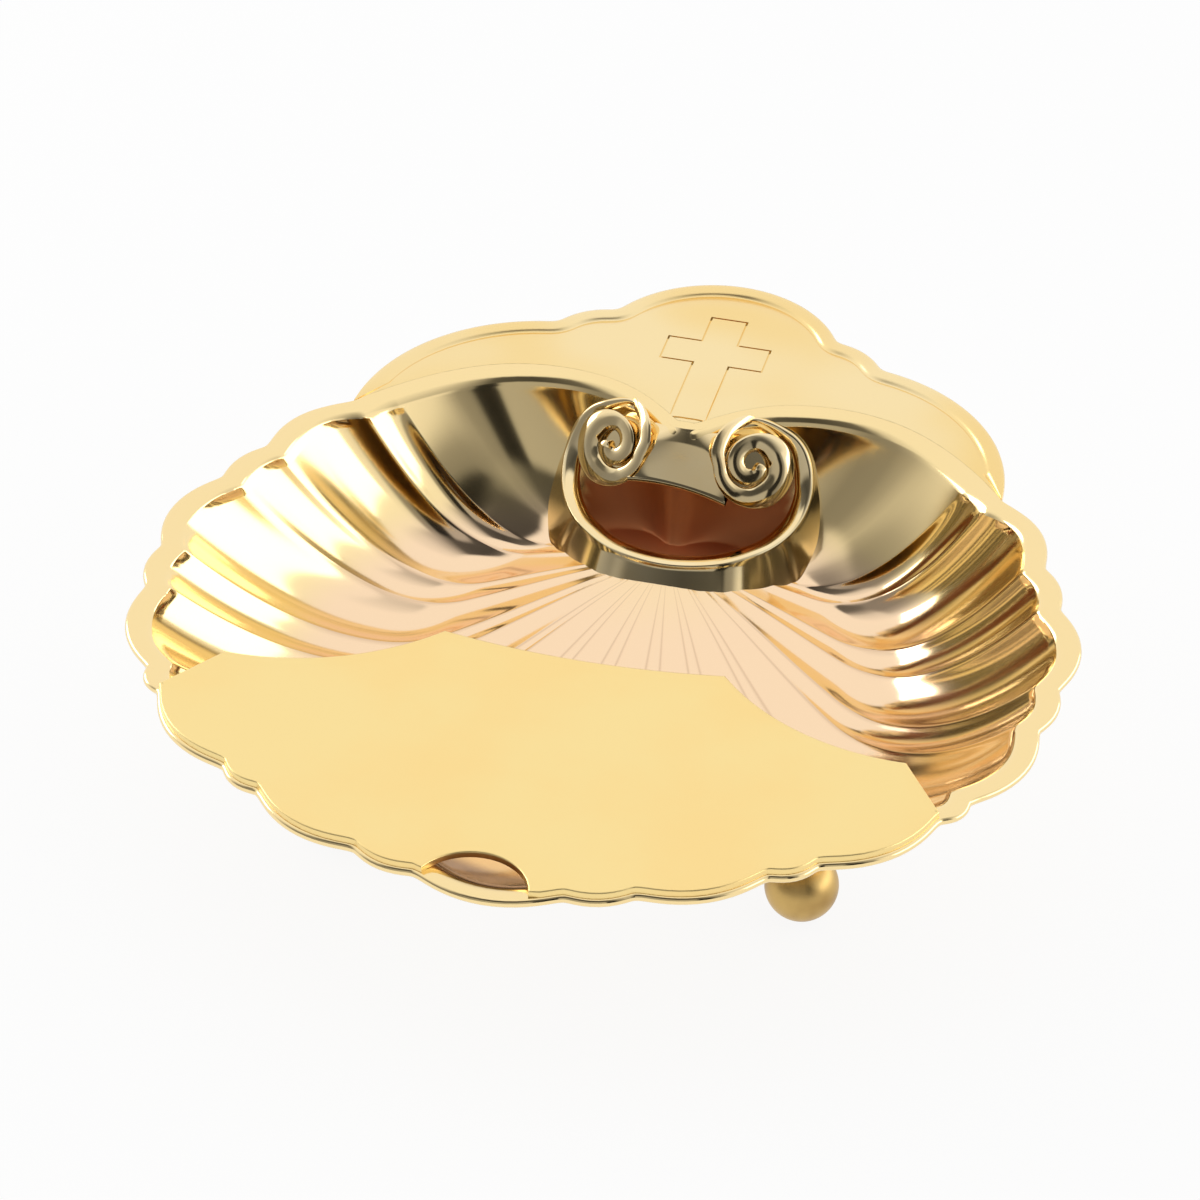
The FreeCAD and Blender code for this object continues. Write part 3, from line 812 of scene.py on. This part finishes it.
def out_of_wall(point):
    """Direction from the dish's wall into its hollow, near a point."""
    bearing, distance = from_umbo(point)
    share = (distance - UMBO_FLAT) / (reach(bearing) - UMBO_FLAT)
    lowest, highest = WALL_SHARES
    return -dish_normal(bearing, min(max(share, lowest), highest))


# Section of the ridge, outer side first: across and up in half widths, the skirt's upper line, and
# the feet that run down into the dish
COLLAR_SECTION = [
    (1.0, "dish"), (1.0, "skirt"), (1.0, -SHOULDER), (0.95, -0.22), (0.8, -0.07), (0.45, 0.0),
    (0.0, 0.02), (-0.45, 0.0), (-0.8, -0.07), (-0.95, -0.22), (-1.0, -SHOULDER), (-1.0, "dish"),
    (1.0, "dish"),
]


def collar_place(column, row):
    """Place of one corner of the collar's mesh. Its arms lean and taper."""
    share = column / COLLAR_COLUMNS
    from_end = min(share, 1 - share)
    middle = along(collar_stops, share)
    way = heading(collar_stops, share)
    upright = UP.lerp(out_of_wall(middle), blend(*ARM_LEAN, from_end))
    out = way.cross(upright).normalized()
    crest = out.cross(way).normalized()
    across, lift = COLLAR_SECTION[row]
    half = COLLAR_HALF * (ARM_TIP + (1 - ARM_TIP) * blend(0, ARM_TAPER, from_end))
    edge = middle + out * (across * half)
    if lift in ("dish", "skirt"):
        to_front = blend(*FLARE_SIDES, abs(middle.x))
        flare = COLLAR_SIDE_FLARE + (COLLAR_FLARE - COLLAR_SIDE_FLARE) * to_front
        flare *= max(across, 0) * blend(*FLARE_ARMS, from_end)
        shoulder = edge - crest * half * SHOULDER
        foot = sunk(shoulder, (out * flare - crest).normalized(), DEEPEST_FOOT)
        return foot if lift == "dish" else shoulder.lerp(foot, SKIRT_TOP)
    return edge + crest * (lift * half)


collar = shaped_grid("umbo_ridge", COLLAR_COLUMNS, len(COLLAR_SECTION) - 1, collar_place)
merge_and_turn_out(collar, TINY)
bpy.ops.object.shade_smooth_by_angle(angle=SOFT_EDGE)
FITTING_GOLD = (0.93, 0.73, 0.40, 1)
FITTING_PALE = (0.95, 0.78, 0.47, 1)
buffed = clouded_gold(
    "buffed_fittings_gold", scale=110.0, detail=3.0, edges=(0.35, 0.7),
    colours=(FITTING_GOLD, FITTING_PALE), roughness=0.08, clouds=0.06)
collar.data.materials.append(buffed)
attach(collar, "root")
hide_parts("umbo_collar")

# Scrolls
# A pair of ram's horns at the umbo: a flattened brass band runs out of the crown's rolled edge and
# winds inwards on a round boss that is soldered to the back wall. They mirror each other.
SCROLL_X = 10.3 * MM
SCROLL_BACK = 8.6 * MM
SCROLL_DEPTH = 4.7 * MM
SCROLL_TILT = math.radians(30)
SCROLL_YAW = math.radians(30)
# The band's lead: angle in degrees, then radius and lift in millimetres
HORN_LEAD = [(114.0, 6.4, -4.1), (95.0, 6.4, -2.3), (62.0, 6.1, -0.7), (32.0, 5.5, -0.2)]
HORN_OUTER = 4.8 * MM
HORN_INNER = 0.4 * MM
HORN_WINDING = 1.6
HORN_TURNS = 1.5
HORN_START = 8.0
HORN_STOPS = 40
HORN_HALF = 1.25 * MM
HORN_LEAD_HALF = 1.05 * MM
HORN_LEAD_END = (0.08, 0.22)
HORN_SWELL = 0.3 * MM
HORN_BULGE = 0.8 * MM
HORN_BULGE_RISE = (0.18, 0.3)
HORN_BULGE_FALL = (0.56, 0.42)
HORN_CROWNING = 0.7 * MM
HORN_FIRST_TAPER = 0.05
HORN_LAST_TAPER = 0.06
HORN_COLUMNS = 200
HORN_SIDES = 20
BOSS_RADIUS = 4.3 * MM
BOSS_BACK = 0.1 * MM
BOSS_SIDES = 48
DEEPEST_BOSS = 14 * MM


def make_scroll(name, side):
    """One horn with its boss, on the left (side -1) or the right (side 1)."""
    to_middle = Vector((-side * math.cos(SCROLL_YAW), -math.sin(SCROLL_YAW), 0))
    to_front = Vector((side * math.sin(SCROLL_YAW), -math.cos(SCROLL_YAW), 0))
    rise = UP * math.cos(SCROLL_TILT) - to_front * math.sin(SCROLL_TILT)
    facing = UP * math.sin(SCROLL_TILT) + to_front * math.cos(SCROLL_TILT)
    centre = rim_origin + Vector((side * SCROLL_X, SCROLL_BACK, -SCROLL_DEPTH))
    turns = [(angle, radius * MM, lift * MM) for angle, radius, lift in HORN_LEAD]
    for index in range(HORN_STOPS + 1):
        share = index / HORN_STOPS
        radius = HORN_OUTER + (HORN_INNER - HORN_OUTER) * share ** HORN_WINDING
        turns.append((HORN_START - 360 * HORN_TURNS * share, radius, HORN_CROWNING * share))
    stops = []
    for degrees, radius, lift in turns:
        angle = math.radians(degrees)
        outward = to_middle * math.cos(angle) + rise * math.sin(angle)
        stops.append(centre + outward * radius + facing * lift)

    def band_place(column, row):
        """Place of one corner of the band's mesh."""
        share = column / HORN_COLUMNS
        way = heading(stops, share)
        across = way.cross(facing).normalized()
        crest = across.cross(way).normalized()
        taper = math.sqrt(min(share / HORN_FIRST_TAPER, (1 - share) / HORN_LAST_TAPER, 1))
        bulge = HORN_BULGE * blend(*HORN_BULGE_RISE, share) * blend(*HORN_BULGE_FALL, share)
        full = blend(*HORN_LEAD_END, share)
        half = HORN_LEAD_HALF + (HORN_HALF - HORN_LEAD_HALF) * full + bulge
        angle = 2 * math.pi * row / HORN_SIDES
        offset = across * (math.cos(angle) * half)
        offset += crest * (math.sin(angle) * (HORN_SWELL + bulge))
        return along(stops, share) + offset * taper

    horn = shaped_grid(name, HORN_COLUMNS, HORN_SIDES, band_place)
    merge_and_turn_out(horn, TINY)
    bpy.ops.object.select_all(action="DESELECT")
    bpy.ops.mesh.primitive_circle_add(vertices=BOSS_SIDES, radius=BOSS_RADIUS, fill_type="NGON")
    boss = bpy.context.object
    for vert in boss.data.vertices:
        vert.co = centre - facing * BOSS_BACK + to_middle * vert.co.x + rise * vert.co.y
    bpy.ops.object.mode_set(mode="EDIT")
    bpy.ops.mesh.select_all(action="SELECT")
    bpy.ops.mesh.extrude_region_move()
    mesh = bmesh.from_edit_mesh(boss.data)
    for vert in mesh.verts:
        if vert.select:
            vert.co = sunk(vert.co, -facing, DEEPEST_BOSS)
    bmesh.update_edit_mesh(boss.data)
    turn_faces_out()
    only_active(horn)
    boss.select_set(True)
    bpy.ops.object.join()
    bpy.ops.object.shade_smooth_by_angle(angle=SOFT_EDGE)
    horn.data.materials.append(buffed)
    return horn


HORNS = (("left_ram_horn", "left_scroll", -1), ("right_ram_horn", "right_scroll", 1))
for name, node, side in HORNS:
    horn = make_scroll(name, side)
    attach(horn, "root")
    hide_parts(node)

# Saddle
# The rounded tongue of brass between the two horns, which hangs from the crown's edge over the
# pocket at the umbo. It is soldered to the back wall and to both horns.
SADDLE_TOP_HALF = 4.4 * MM
SADDLE_LIP_HALF = 7.2 * MM
# Its middle line from the crown down to the lip, in millimetres: behind the umbo, below the rim
SADDLE_PROFILE = [(9.3, 0.5), (7.7, 2.0), (6.5, 4.7), (5.2, 7.4)]
SADDLE_TOP_SWEEP = 2.0 * MM
SADDLE_LIP_SWEEP = -0.5 * MM
SADDLE_TOP_DROP = 0.6 * MM
SADDLE_LIP_TILT = 0.13
SADDLE_LIP_ARCH = 0.6 * MM
SADDLE_LIP_EDGE = 0.8 * MM
SADDLE_LIP_ROUND = 0.3
SADDLE_COLUMNS = 32
SADDLE_FRONT_ROWS = 20
SADDLE_LIP_ROWS = 6
DEEPEST_SADDLE = 9 * MM
BACKWARDS = Vector((0, 1, 0))
saddle_rows = [("front", row / SADDLE_FRONT_ROWS) for row in range(SADDLE_FRONT_ROWS + 1)]
saddle_rows += [("lip", row / SADDLE_LIP_ROWS) for row in range(1, SADDLE_LIP_ROWS + 1)]
saddle_rows += [("back", 1), ("back", 0), ("front", 0)]
saddle_stops = [Vector((0, back, -depth)) * MM for back, depth in SADDLE_PROFILE]


def saddle_place(column, row):
    """Place of one corner of the saddle's mesh."""
    kind, value = saddle_rows[row]
    side = 2 * column / SADDLE_COLUMNS - 1
    share = 1 if kind == "lip" else value
    x = (SADDLE_TOP_HALF + (SADDLE_LIP_HALF - SADDLE_TOP_HALF) * share) * side
    sweep = SADDLE_TOP_SWEEP + (SADDLE_LIP_SWEEP - SADDLE_TOP_SWEEP) * share
    drop = SADDLE_TOP_DROP * side ** 2 * (1 - share)
    drop += (SADDLE_LIP_TILT * x + SADDLE_LIP_ARCH * side ** 2) * share
    point = rim_origin + along(saddle_stops, share) + Vector((x, sweep * side ** 2, -drop))
    if kind == "lip":
        turn = math.pi * value
        forward = -SADDLE_LIP_ROUND * math.sin(turn)
        point += Vector((0, forward, math.cos(turn) / 2 - 0.5)) * SADDLE_LIP_EDGE
    if kind == "back":
        point.z -= SADDLE_LIP_EDGE * share
        return sunk(point, BACKWARDS, DEEPEST_SADDLE)
    return point


saddle = shaped_grid("umbo_tongue", SADDLE_COLUMNS, len(saddle_rows) - 1, saddle_place)
merge_and_turn_out(saddle, TINY)
bpy.ops.object.shade_smooth_by_angle(angle=SOFT_EDGE)
saddle.data.materials.append(buffed)
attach(saddle, "root")
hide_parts("umbo_saddle")

# Pouring guard
# A flat brass plate over the front of the dish, soldered to the rim band and brushed to a soft
# sheen. Its back edge waves, its front edge follows the flutes, and a half-round notch lets the
# water out.
GUARD_THICKNESS = 1.0 * MM
GUARD_INSET = 0.5 * MM
GUARD_ROUND = 0.25 * MM
GUARD_ROUND_STEPS = 3
GUARD_PEAK = (19.7 * MM, 52.3 * MM)
GUARD_CORNER = (47.4 * MM, 40.3 * MM)
GUARD_CENTRE = 50.6 * MM
GUARD_FLANK_BULGE = 3.4 * MM
GUARD_FLUTE_STEPS = 16
GUARD_WAVE_STEPS = 24
GUARD_SOFT_EDGE = math.radians(35)
NOTCH_RADIUS = 7.7 * MM
NOTCH_STEPS = 32
NOTCH_PLACE = Vector((-1.7 * MM, FRONT_Y + 0.4 * MM, RIM_Z))
front_line = []
for flute_start, flute_end, flute_bulge in flutes:
    if abs(flute_start + flute_end) / 2 < GUARD_BEARING:
        for step in range(GUARD_FLUTE_STEPS):
            across = 0.5 - 0.5 * math.cos(math.pi * step / GUARD_FLUTE_STEPS)
            bearing = flute_start + (flute_end - flute_start) * across
            front_line.append(rim_edge_point(bearing, GUARD_INSET))
front_line.append(rim_edge_point(GUARD_BEARING, GUARD_INSET))
outside_notch = [point for point in front_line if (point - NOTCH_PLACE).length > NOTCH_RADIUS]
left_front = [point for point in outside_notch if point.x < NOTCH_PLACE.x]
right_front = [point for point in outside_notch if point.x > NOTCH_PLACE.x]


def notch_angle(point):
    """Angle of a point round the middle of the notch."""
    return math.atan2(point.y - NOTCH_PLACE.y, point.x - NOTCH_PLACE.x)


notch_line = []
notch_start = notch_angle(left_front[-1])
notch_end = notch_angle(right_front[0])
if notch_start < 0:
    notch_start += 2 * math.pi
for step in range(NOTCH_STEPS + 1):
    angle = notch_start + (notch_end - notch_start) * step / NOTCH_STEPS
    notch_line.append(NOTCH_PLACE + Vector((math.cos(angle), math.sin(angle), 0)) * NOTCH_RADIUS)
corner = Vector((GUARD_CORNER[0], FRONT_Y + GUARD_CORNER[1], RIM_Z))
peak = Vector((GUARD_PEAK[0], FRONT_Y + GUARD_PEAK[1], RIM_Z))
centre_bulge = GUARD_CENTRE - GUARD_PEAK[1]
back_line = arc_points(corner, peak, -GUARD_FLANK_BULGE, GUARD_WAVE_STEPS)
back_line += arc_points(peak, mirrored(peak), centre_bulge, GUARD_WAVE_STEPS)
back_line += arc_points(mirrored(peak), mirrored(corner), -GUARD_FLANK_BULGE, GUARD_WAVE_STEPS)
back_line.append(mirrored(corner))
guard = flat_face(left_front + notch_line + right_front + back_line)
guard.name = "pouring_lip_guard"
bpy.ops.mesh.extrude_region_move(TRANSFORM_OT_translate={"value": (0, 0, GUARD_THICKNESS)})
bpy.ops.mesh.select_mode(type="EDGE")
mesh = bmesh.from_edit_mesh(guard.data)
guard_middle = RIM_Z + GUARD_THICKNESS / 2
for edge in mesh.edges:
    edge.select_set(all(vert.co.z > guard_middle for vert in edge.verts))
bmesh.update_edit_mesh(guard.data)
bpy.ops.mesh.bevel(
    offset=GUARD_ROUND, segments=GUARD_ROUND_STEPS, affect="EDGES", clamp_overlap=True)
# An inset keeps the shading of the large top face flat
bpy.ops.mesh.select_mode(type="FACE")
mesh = bmesh.from_edit_mesh(guard.data)
for face in mesh.faces:
    face.select_set(len(face.verts) > 4 and face.calc_center_median().z > guard_middle)
bmesh.update_edit_mesh(guard.data)
bpy.ops.mesh.inset(thickness=GUARD_ROUND)
turn_faces_out()
only_active(guard)
bpy.ops.object.shade_smooth_by_angle(angle=GUARD_SOFT_EDGE)
GUARD_GOLD = (0.965, 0.715, 0.30, 1)
GUARD_PALE = (0.955, 0.745, 0.33, 1)
brushed = clouded_gold(
    "brushed_guard_gold", scale=40.0, detail=4.0, edges=(0.35, 0.65),
    colours=(GUARD_GOLD, GUARD_PALE), roughness=0.28, clouds=0.1)
guard.data.materials.append(brushed)
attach(guard, "root")
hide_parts("pouring_guard")

# Feet
# Three stock brass balls with a small lapped flat, tumbled to a satin gold. Each sits on a turned
# stud whose flared neck is soldered under the dish and whose shank fills the ball's socket.
BALL_RADIUS = 5.1 * MM
BALL_FLAT_RADIUS = 1.5 * MM
BALL_HEIGHT = math.sqrt(BALL_RADIUS ** 2 - BALL_FLAT_RADIUS ** 2)
BALL_SEGMENTS = 64
BALL_RINGS = 40
SHANK_RADIUS = 1.3 * MM
SHANK_LENGTH = 5.0 * MM
STUD_SIDES = 40
NECK_RADIUS = 2.2 * MM
NECK_SINK = 0.3 * MM
# Width of the neck in neck radii, at shares of its height
NECK_RINGS = [(0.96, 0.3), (1.12, 0.65), (1.4, 1.0)]
NECK_BITE = SHEET * 0.4
FOOT_SOFT_EDGE = math.radians(40)
SATIN_GOLD = (0.62, 0.42, 0.15, 1)
SATIN_DARK = (0.42, 0.26, 0.09, 1)
SATIN_ROUGHNESS = 0.3
SATIN_GRAIN = 0.12
satin, shader, place = start_finish("satin_gold")
grain = place.noise(scale=900.0, detail=4.0)
cloud = place.noise(scale=160.0, detail=2.0)
connect(shader, "Base Color", cloud.between(low=0.35, high=0.7).mixed(SATIN_GOLD, SATIN_DARK))
connect(shader, "Roughness", SATIN_ROUGHNESS + grain * SATIN_GRAIN)
for corner_name in ("front_left", "front_right", "back"):
    foot_low, foot_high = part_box(corner_name + "_foot")
    stud_low, stud_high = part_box(corner_name + "_stud")
    middle = (foot_low + foot_high) / 2
    bpy.ops.object.select_all(action="DESELECT")
    bpy.ops.mesh.primitive_uv_sphere_add(
        segments=BALL_SEGMENTS, ring_count=BALL_RINGS, radius=BALL_RADIUS,
        location=(middle.x, middle.y, BALL_HEIGHT))
    bpy.ops.object.transform_apply()
    ball = bpy.context.object
    ball.name = corner_name + "_ball"
    bpy.ops.object.mode_set(mode="EDIT")
    bpy.ops.mesh.select_all(action="SELECT")
    bpy.ops.mesh.bisect(
        plane_co=(0, 0, 0), plane_no=UP, use_fill=True, clear_inner=True, threshold=TINY)
    bpy.ops.object.mode_set(mode="OBJECT")
    merge_and_turn_out(ball, TINY)
    bpy.ops.object.shade_smooth_by_angle(angle=FOOT_SOFT_EDGE)
    ball.data.materials.append(satin)
    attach(ball, "root")
    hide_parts(corner_name + "_foot")
    bpy.ops.object.select_all(action="DESELECT")
    bpy.ops.mesh.primitive_circle_add(
        vertices=STUD_SIDES, radius=SHANK_RADIUS, fill_type="NGON",
        location=(middle.x, middle.y, foot_high.z - SHANK_LENGTH))
    bpy.ops.object.transform_apply()
    stud = bpy.context.object
    stud.name = corner_name + "_neck"
    bpy.ops.object.mode_set(mode="EDIT")
    neck_length = stud_high.z - foot_high.z
    profile = [(SHANK_RADIUS, foot_high.z - NECK_SINK), (NECK_RADIUS, foot_high.z - NECK_SINK)]
    for width, share in NECK_RINGS:
        profile.append((NECK_RADIUS * width, foot_high.z + neck_length * share))
    for radius, level in profile:
        bpy.ops.mesh.extrude_region_move()
        mesh = bmesh.from_edit_mesh(stud.data)
        for vert in mesh.verts:
            if vert.select:
                arm = Vector((vert.co.x - middle.x, vert.co.y - middle.y, 0)).normalized()
                vert.co = Vector((middle.x, middle.y, level)) + arm * radius
                # Above the ball, the neck's rings rise with the dish's sloping underside
                if level > foot_high.z:
                    below = Vector((vert.co.x, vert.co.y, 0))
                    underside = dish.ray_cast(below, UP)[1]
                    neck_share = (level - foot_high.z) / neck_length
                    full_height = underside.z + NECK_BITE - foot_high.z
                    vert.co.z = foot_high.z + full_height * neck_share
        bmesh.update_edit_mesh(stud.data)
    bpy.ops.object.mode_set(mode="OBJECT")
    merge_and_turn_out(stud, TINY)
    bpy.ops.object.shade_smooth_by_angle(angle=FOOT_SOFT_EDGE)
    stud.data.materials.append(satin)
    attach(stud, "root")
    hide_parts(corner_name + "_stud")

# Studio
# A plain white table with soft light all round. The room behind the camera is dim, which is what
# the back of the dish mirrors. Two softboxes stand at the sides.
TABLE_SIZE = 4
PAPER_WHITE = (0.95, 0.95, 0.95, 1)
WHITE = (1, 1, 1, 1)
TABLE_GLOW = 0.9
bpy.ops.object.select_all(action="DESELECT")
bpy.ops.mesh.primitive_plane_add(size=TABLE_SIZE, location=(0, 0, 0))
table = bpy.context.object
table.name = "white_table"
paper = bpy.data.materials.new("white_paper")
paper.use_nodes = True
tree = paper.node_tree
shader = tree.nodes["Principled BSDF"]
shader.inputs["Base Color"].default_value = PAPER_WHITE
shader.inputs["Roughness"].default_value = 0.9
shader.inputs["Specular IOR Level"].default_value = 0
ray = Socket(tree)
seen = ray.node("ShaderNodeLightPath", {}, {}, "Is Camera Ray")
seen = seen + ray.node("ShaderNodeLightPath", {}, {}, "Is Glossy Ray")
seen = seen + ray.node("ShaderNodeLightPath", {}, {}, "Is Transmission Ray")
glow = seen.node("ShaderNodeEmission", {}, {"Color": WHITE, "Strength": 1.0})
lit = Socket(tree, shader.outputs["BSDF"])
surface = seen.node("ShaderNodeMixShader", {}, {"Fac": seen * TABLE_GLOW, 1: lit, 2: glow})
connect(tree.nodes["Material Output"], "Surface", surface)
table.data.materials.append(paper)

# How bright the room is round the shell, low down and higher up. Turns go from 0 behind the shell
# over 0.25 on the left, 0.5 in front and 0.75 on the right to 1 behind it.
LOW_ROOM = [
    (0.0, 1.0), (0.25, 1.0), (0.28, 0.82), (0.295, 0.62), (0.314, 0.42), (0.345, 0.28),
    (0.4, 0.26), (0.46, 0.42), (0.58, 0.48), (0.586, 0.02), (0.622, 0.02), (0.628, 0.27),
    (0.648, 0.31), (0.664, 0.9), (0.69, 1.0), (1.0, 1.0),
]
HIGH_ROOM = [
    (0.0, 1.0), (0.25, 1.0), (0.33, 0.75), (0.39, 0.15), (0.5, 0.07), (0.6, 0.1), (0.66, 0.5),
    (0.72, 0.8), (0.8, 1.0), (1.0, 1.0),
]
# Heights between which the low room gives way to the high one, and that to the white ceiling
HIGH_ROOM_HEIGHTS = (0.5, 0.62)
CEILING_HEIGHTS = (0.92, 0.97)
world = bpy.data.worlds.new("studio")
world.use_nodes = True
bpy.context.scene.world = world
tree = world.node_tree
toward = Socket(tree).node("ShaderNodeTexCoord", {}, {}, "Generated")
east = toward.node("ShaderNodeSeparateXYZ", {}, {"Vector": toward}, "X")
north = toward.node("ShaderNodeSeparateXYZ", {}, {"Vector": toward}, "Y")
height = toward.node("ShaderNodeSeparateXYZ", {}, {"Vector": toward}, "Z")
turn = east.maths("ARCTAN2", east, 0 - north) * (0.5 / math.pi) + 0.5


def room_wall(levels):
    """Grey levels round the shell."""
    stops = [(position, (level, level, level)) for position, level in levels]
    return turn.node("ShaderNodeValToRGB", {"stops": stops}, {"Fac": turn})


room = height.between(*HIGH_ROOM_HEIGHTS).mixed(room_wall(LOW_ROOM), room_wall(HIGH_ROOM))
camera_ray = toward.node("ShaderNodeLightPath", {}, {}, "Is Camera Ray")
ceiling = height.between(*CEILING_HEIGHTS)
clear = ceiling.maths("MAXIMUM", ceiling, camera_ray)
background = tree.nodes["Background"]
connect(background, "Color", clear.mixed(room, WHITE))
background.inputs["Strength"].default_value = 1.0
LIGHT_AIM = Vector((0, 0, 0.03))


def softbox(name, place, width, depth, energy):
    """A rectangular soft light that faces the shell."""
    bpy.ops.object.light_add(type="AREA", location=place)
    lamp = bpy.context.object
    lamp.name = name
    lamp.rotation_euler = (Vector(place) - LIGHT_AIM).to_track_quat("Z", "Y").to_euler()
    lamp.data.shape = "RECTANGLE"
    lamp.data.size = width
    lamp.data.size_y = depth
    lamp.data.energy = energy


softbox("right_softbox", place=(0.86, 0.28, 0.19), width=1.4, depth=0.36, energy=2.6)
softbox("left_softbox", place=(-0.81, 0.22, 0.29), width=0.55, depth=0.34, energy=2.0)

VIEW_BEARING = math.radians(14.75)
VIEW_ELEVATION = math.radians(37.5)
VIEW_DISTANCE = 0.8261
VIEW_SIDE = -1.26 * MM
VIEW_FROM_CROWN = 78.65 * MM
target = Vector((VIEW_SIDE, rim_origin.y + CROWN_REACH - VIEW_FROM_CROWN, RIM_Z))
toward_camera = Vector((
    math.sin(VIEW_BEARING) * math.cos(VIEW_ELEVATION),
    -math.cos(VIEW_BEARING) * math.cos(VIEW_ELEVATION),
    math.sin(VIEW_ELEVATION),
))
bpy.ops.object.camera_add(location=target + toward_camera * VIEW_DISTANCE)
camera = bpy.context.object
camera.rotation_euler = toward_camera.to_track_quat("Z", "Y").to_euler()
camera.data.sensor_width = 36
camera.data.lens = 180
camera.data.clip_start = 0.01
bpy.context.scene.camera = camera
bpy.context.scene.view_settings.view_transform = "Standard"
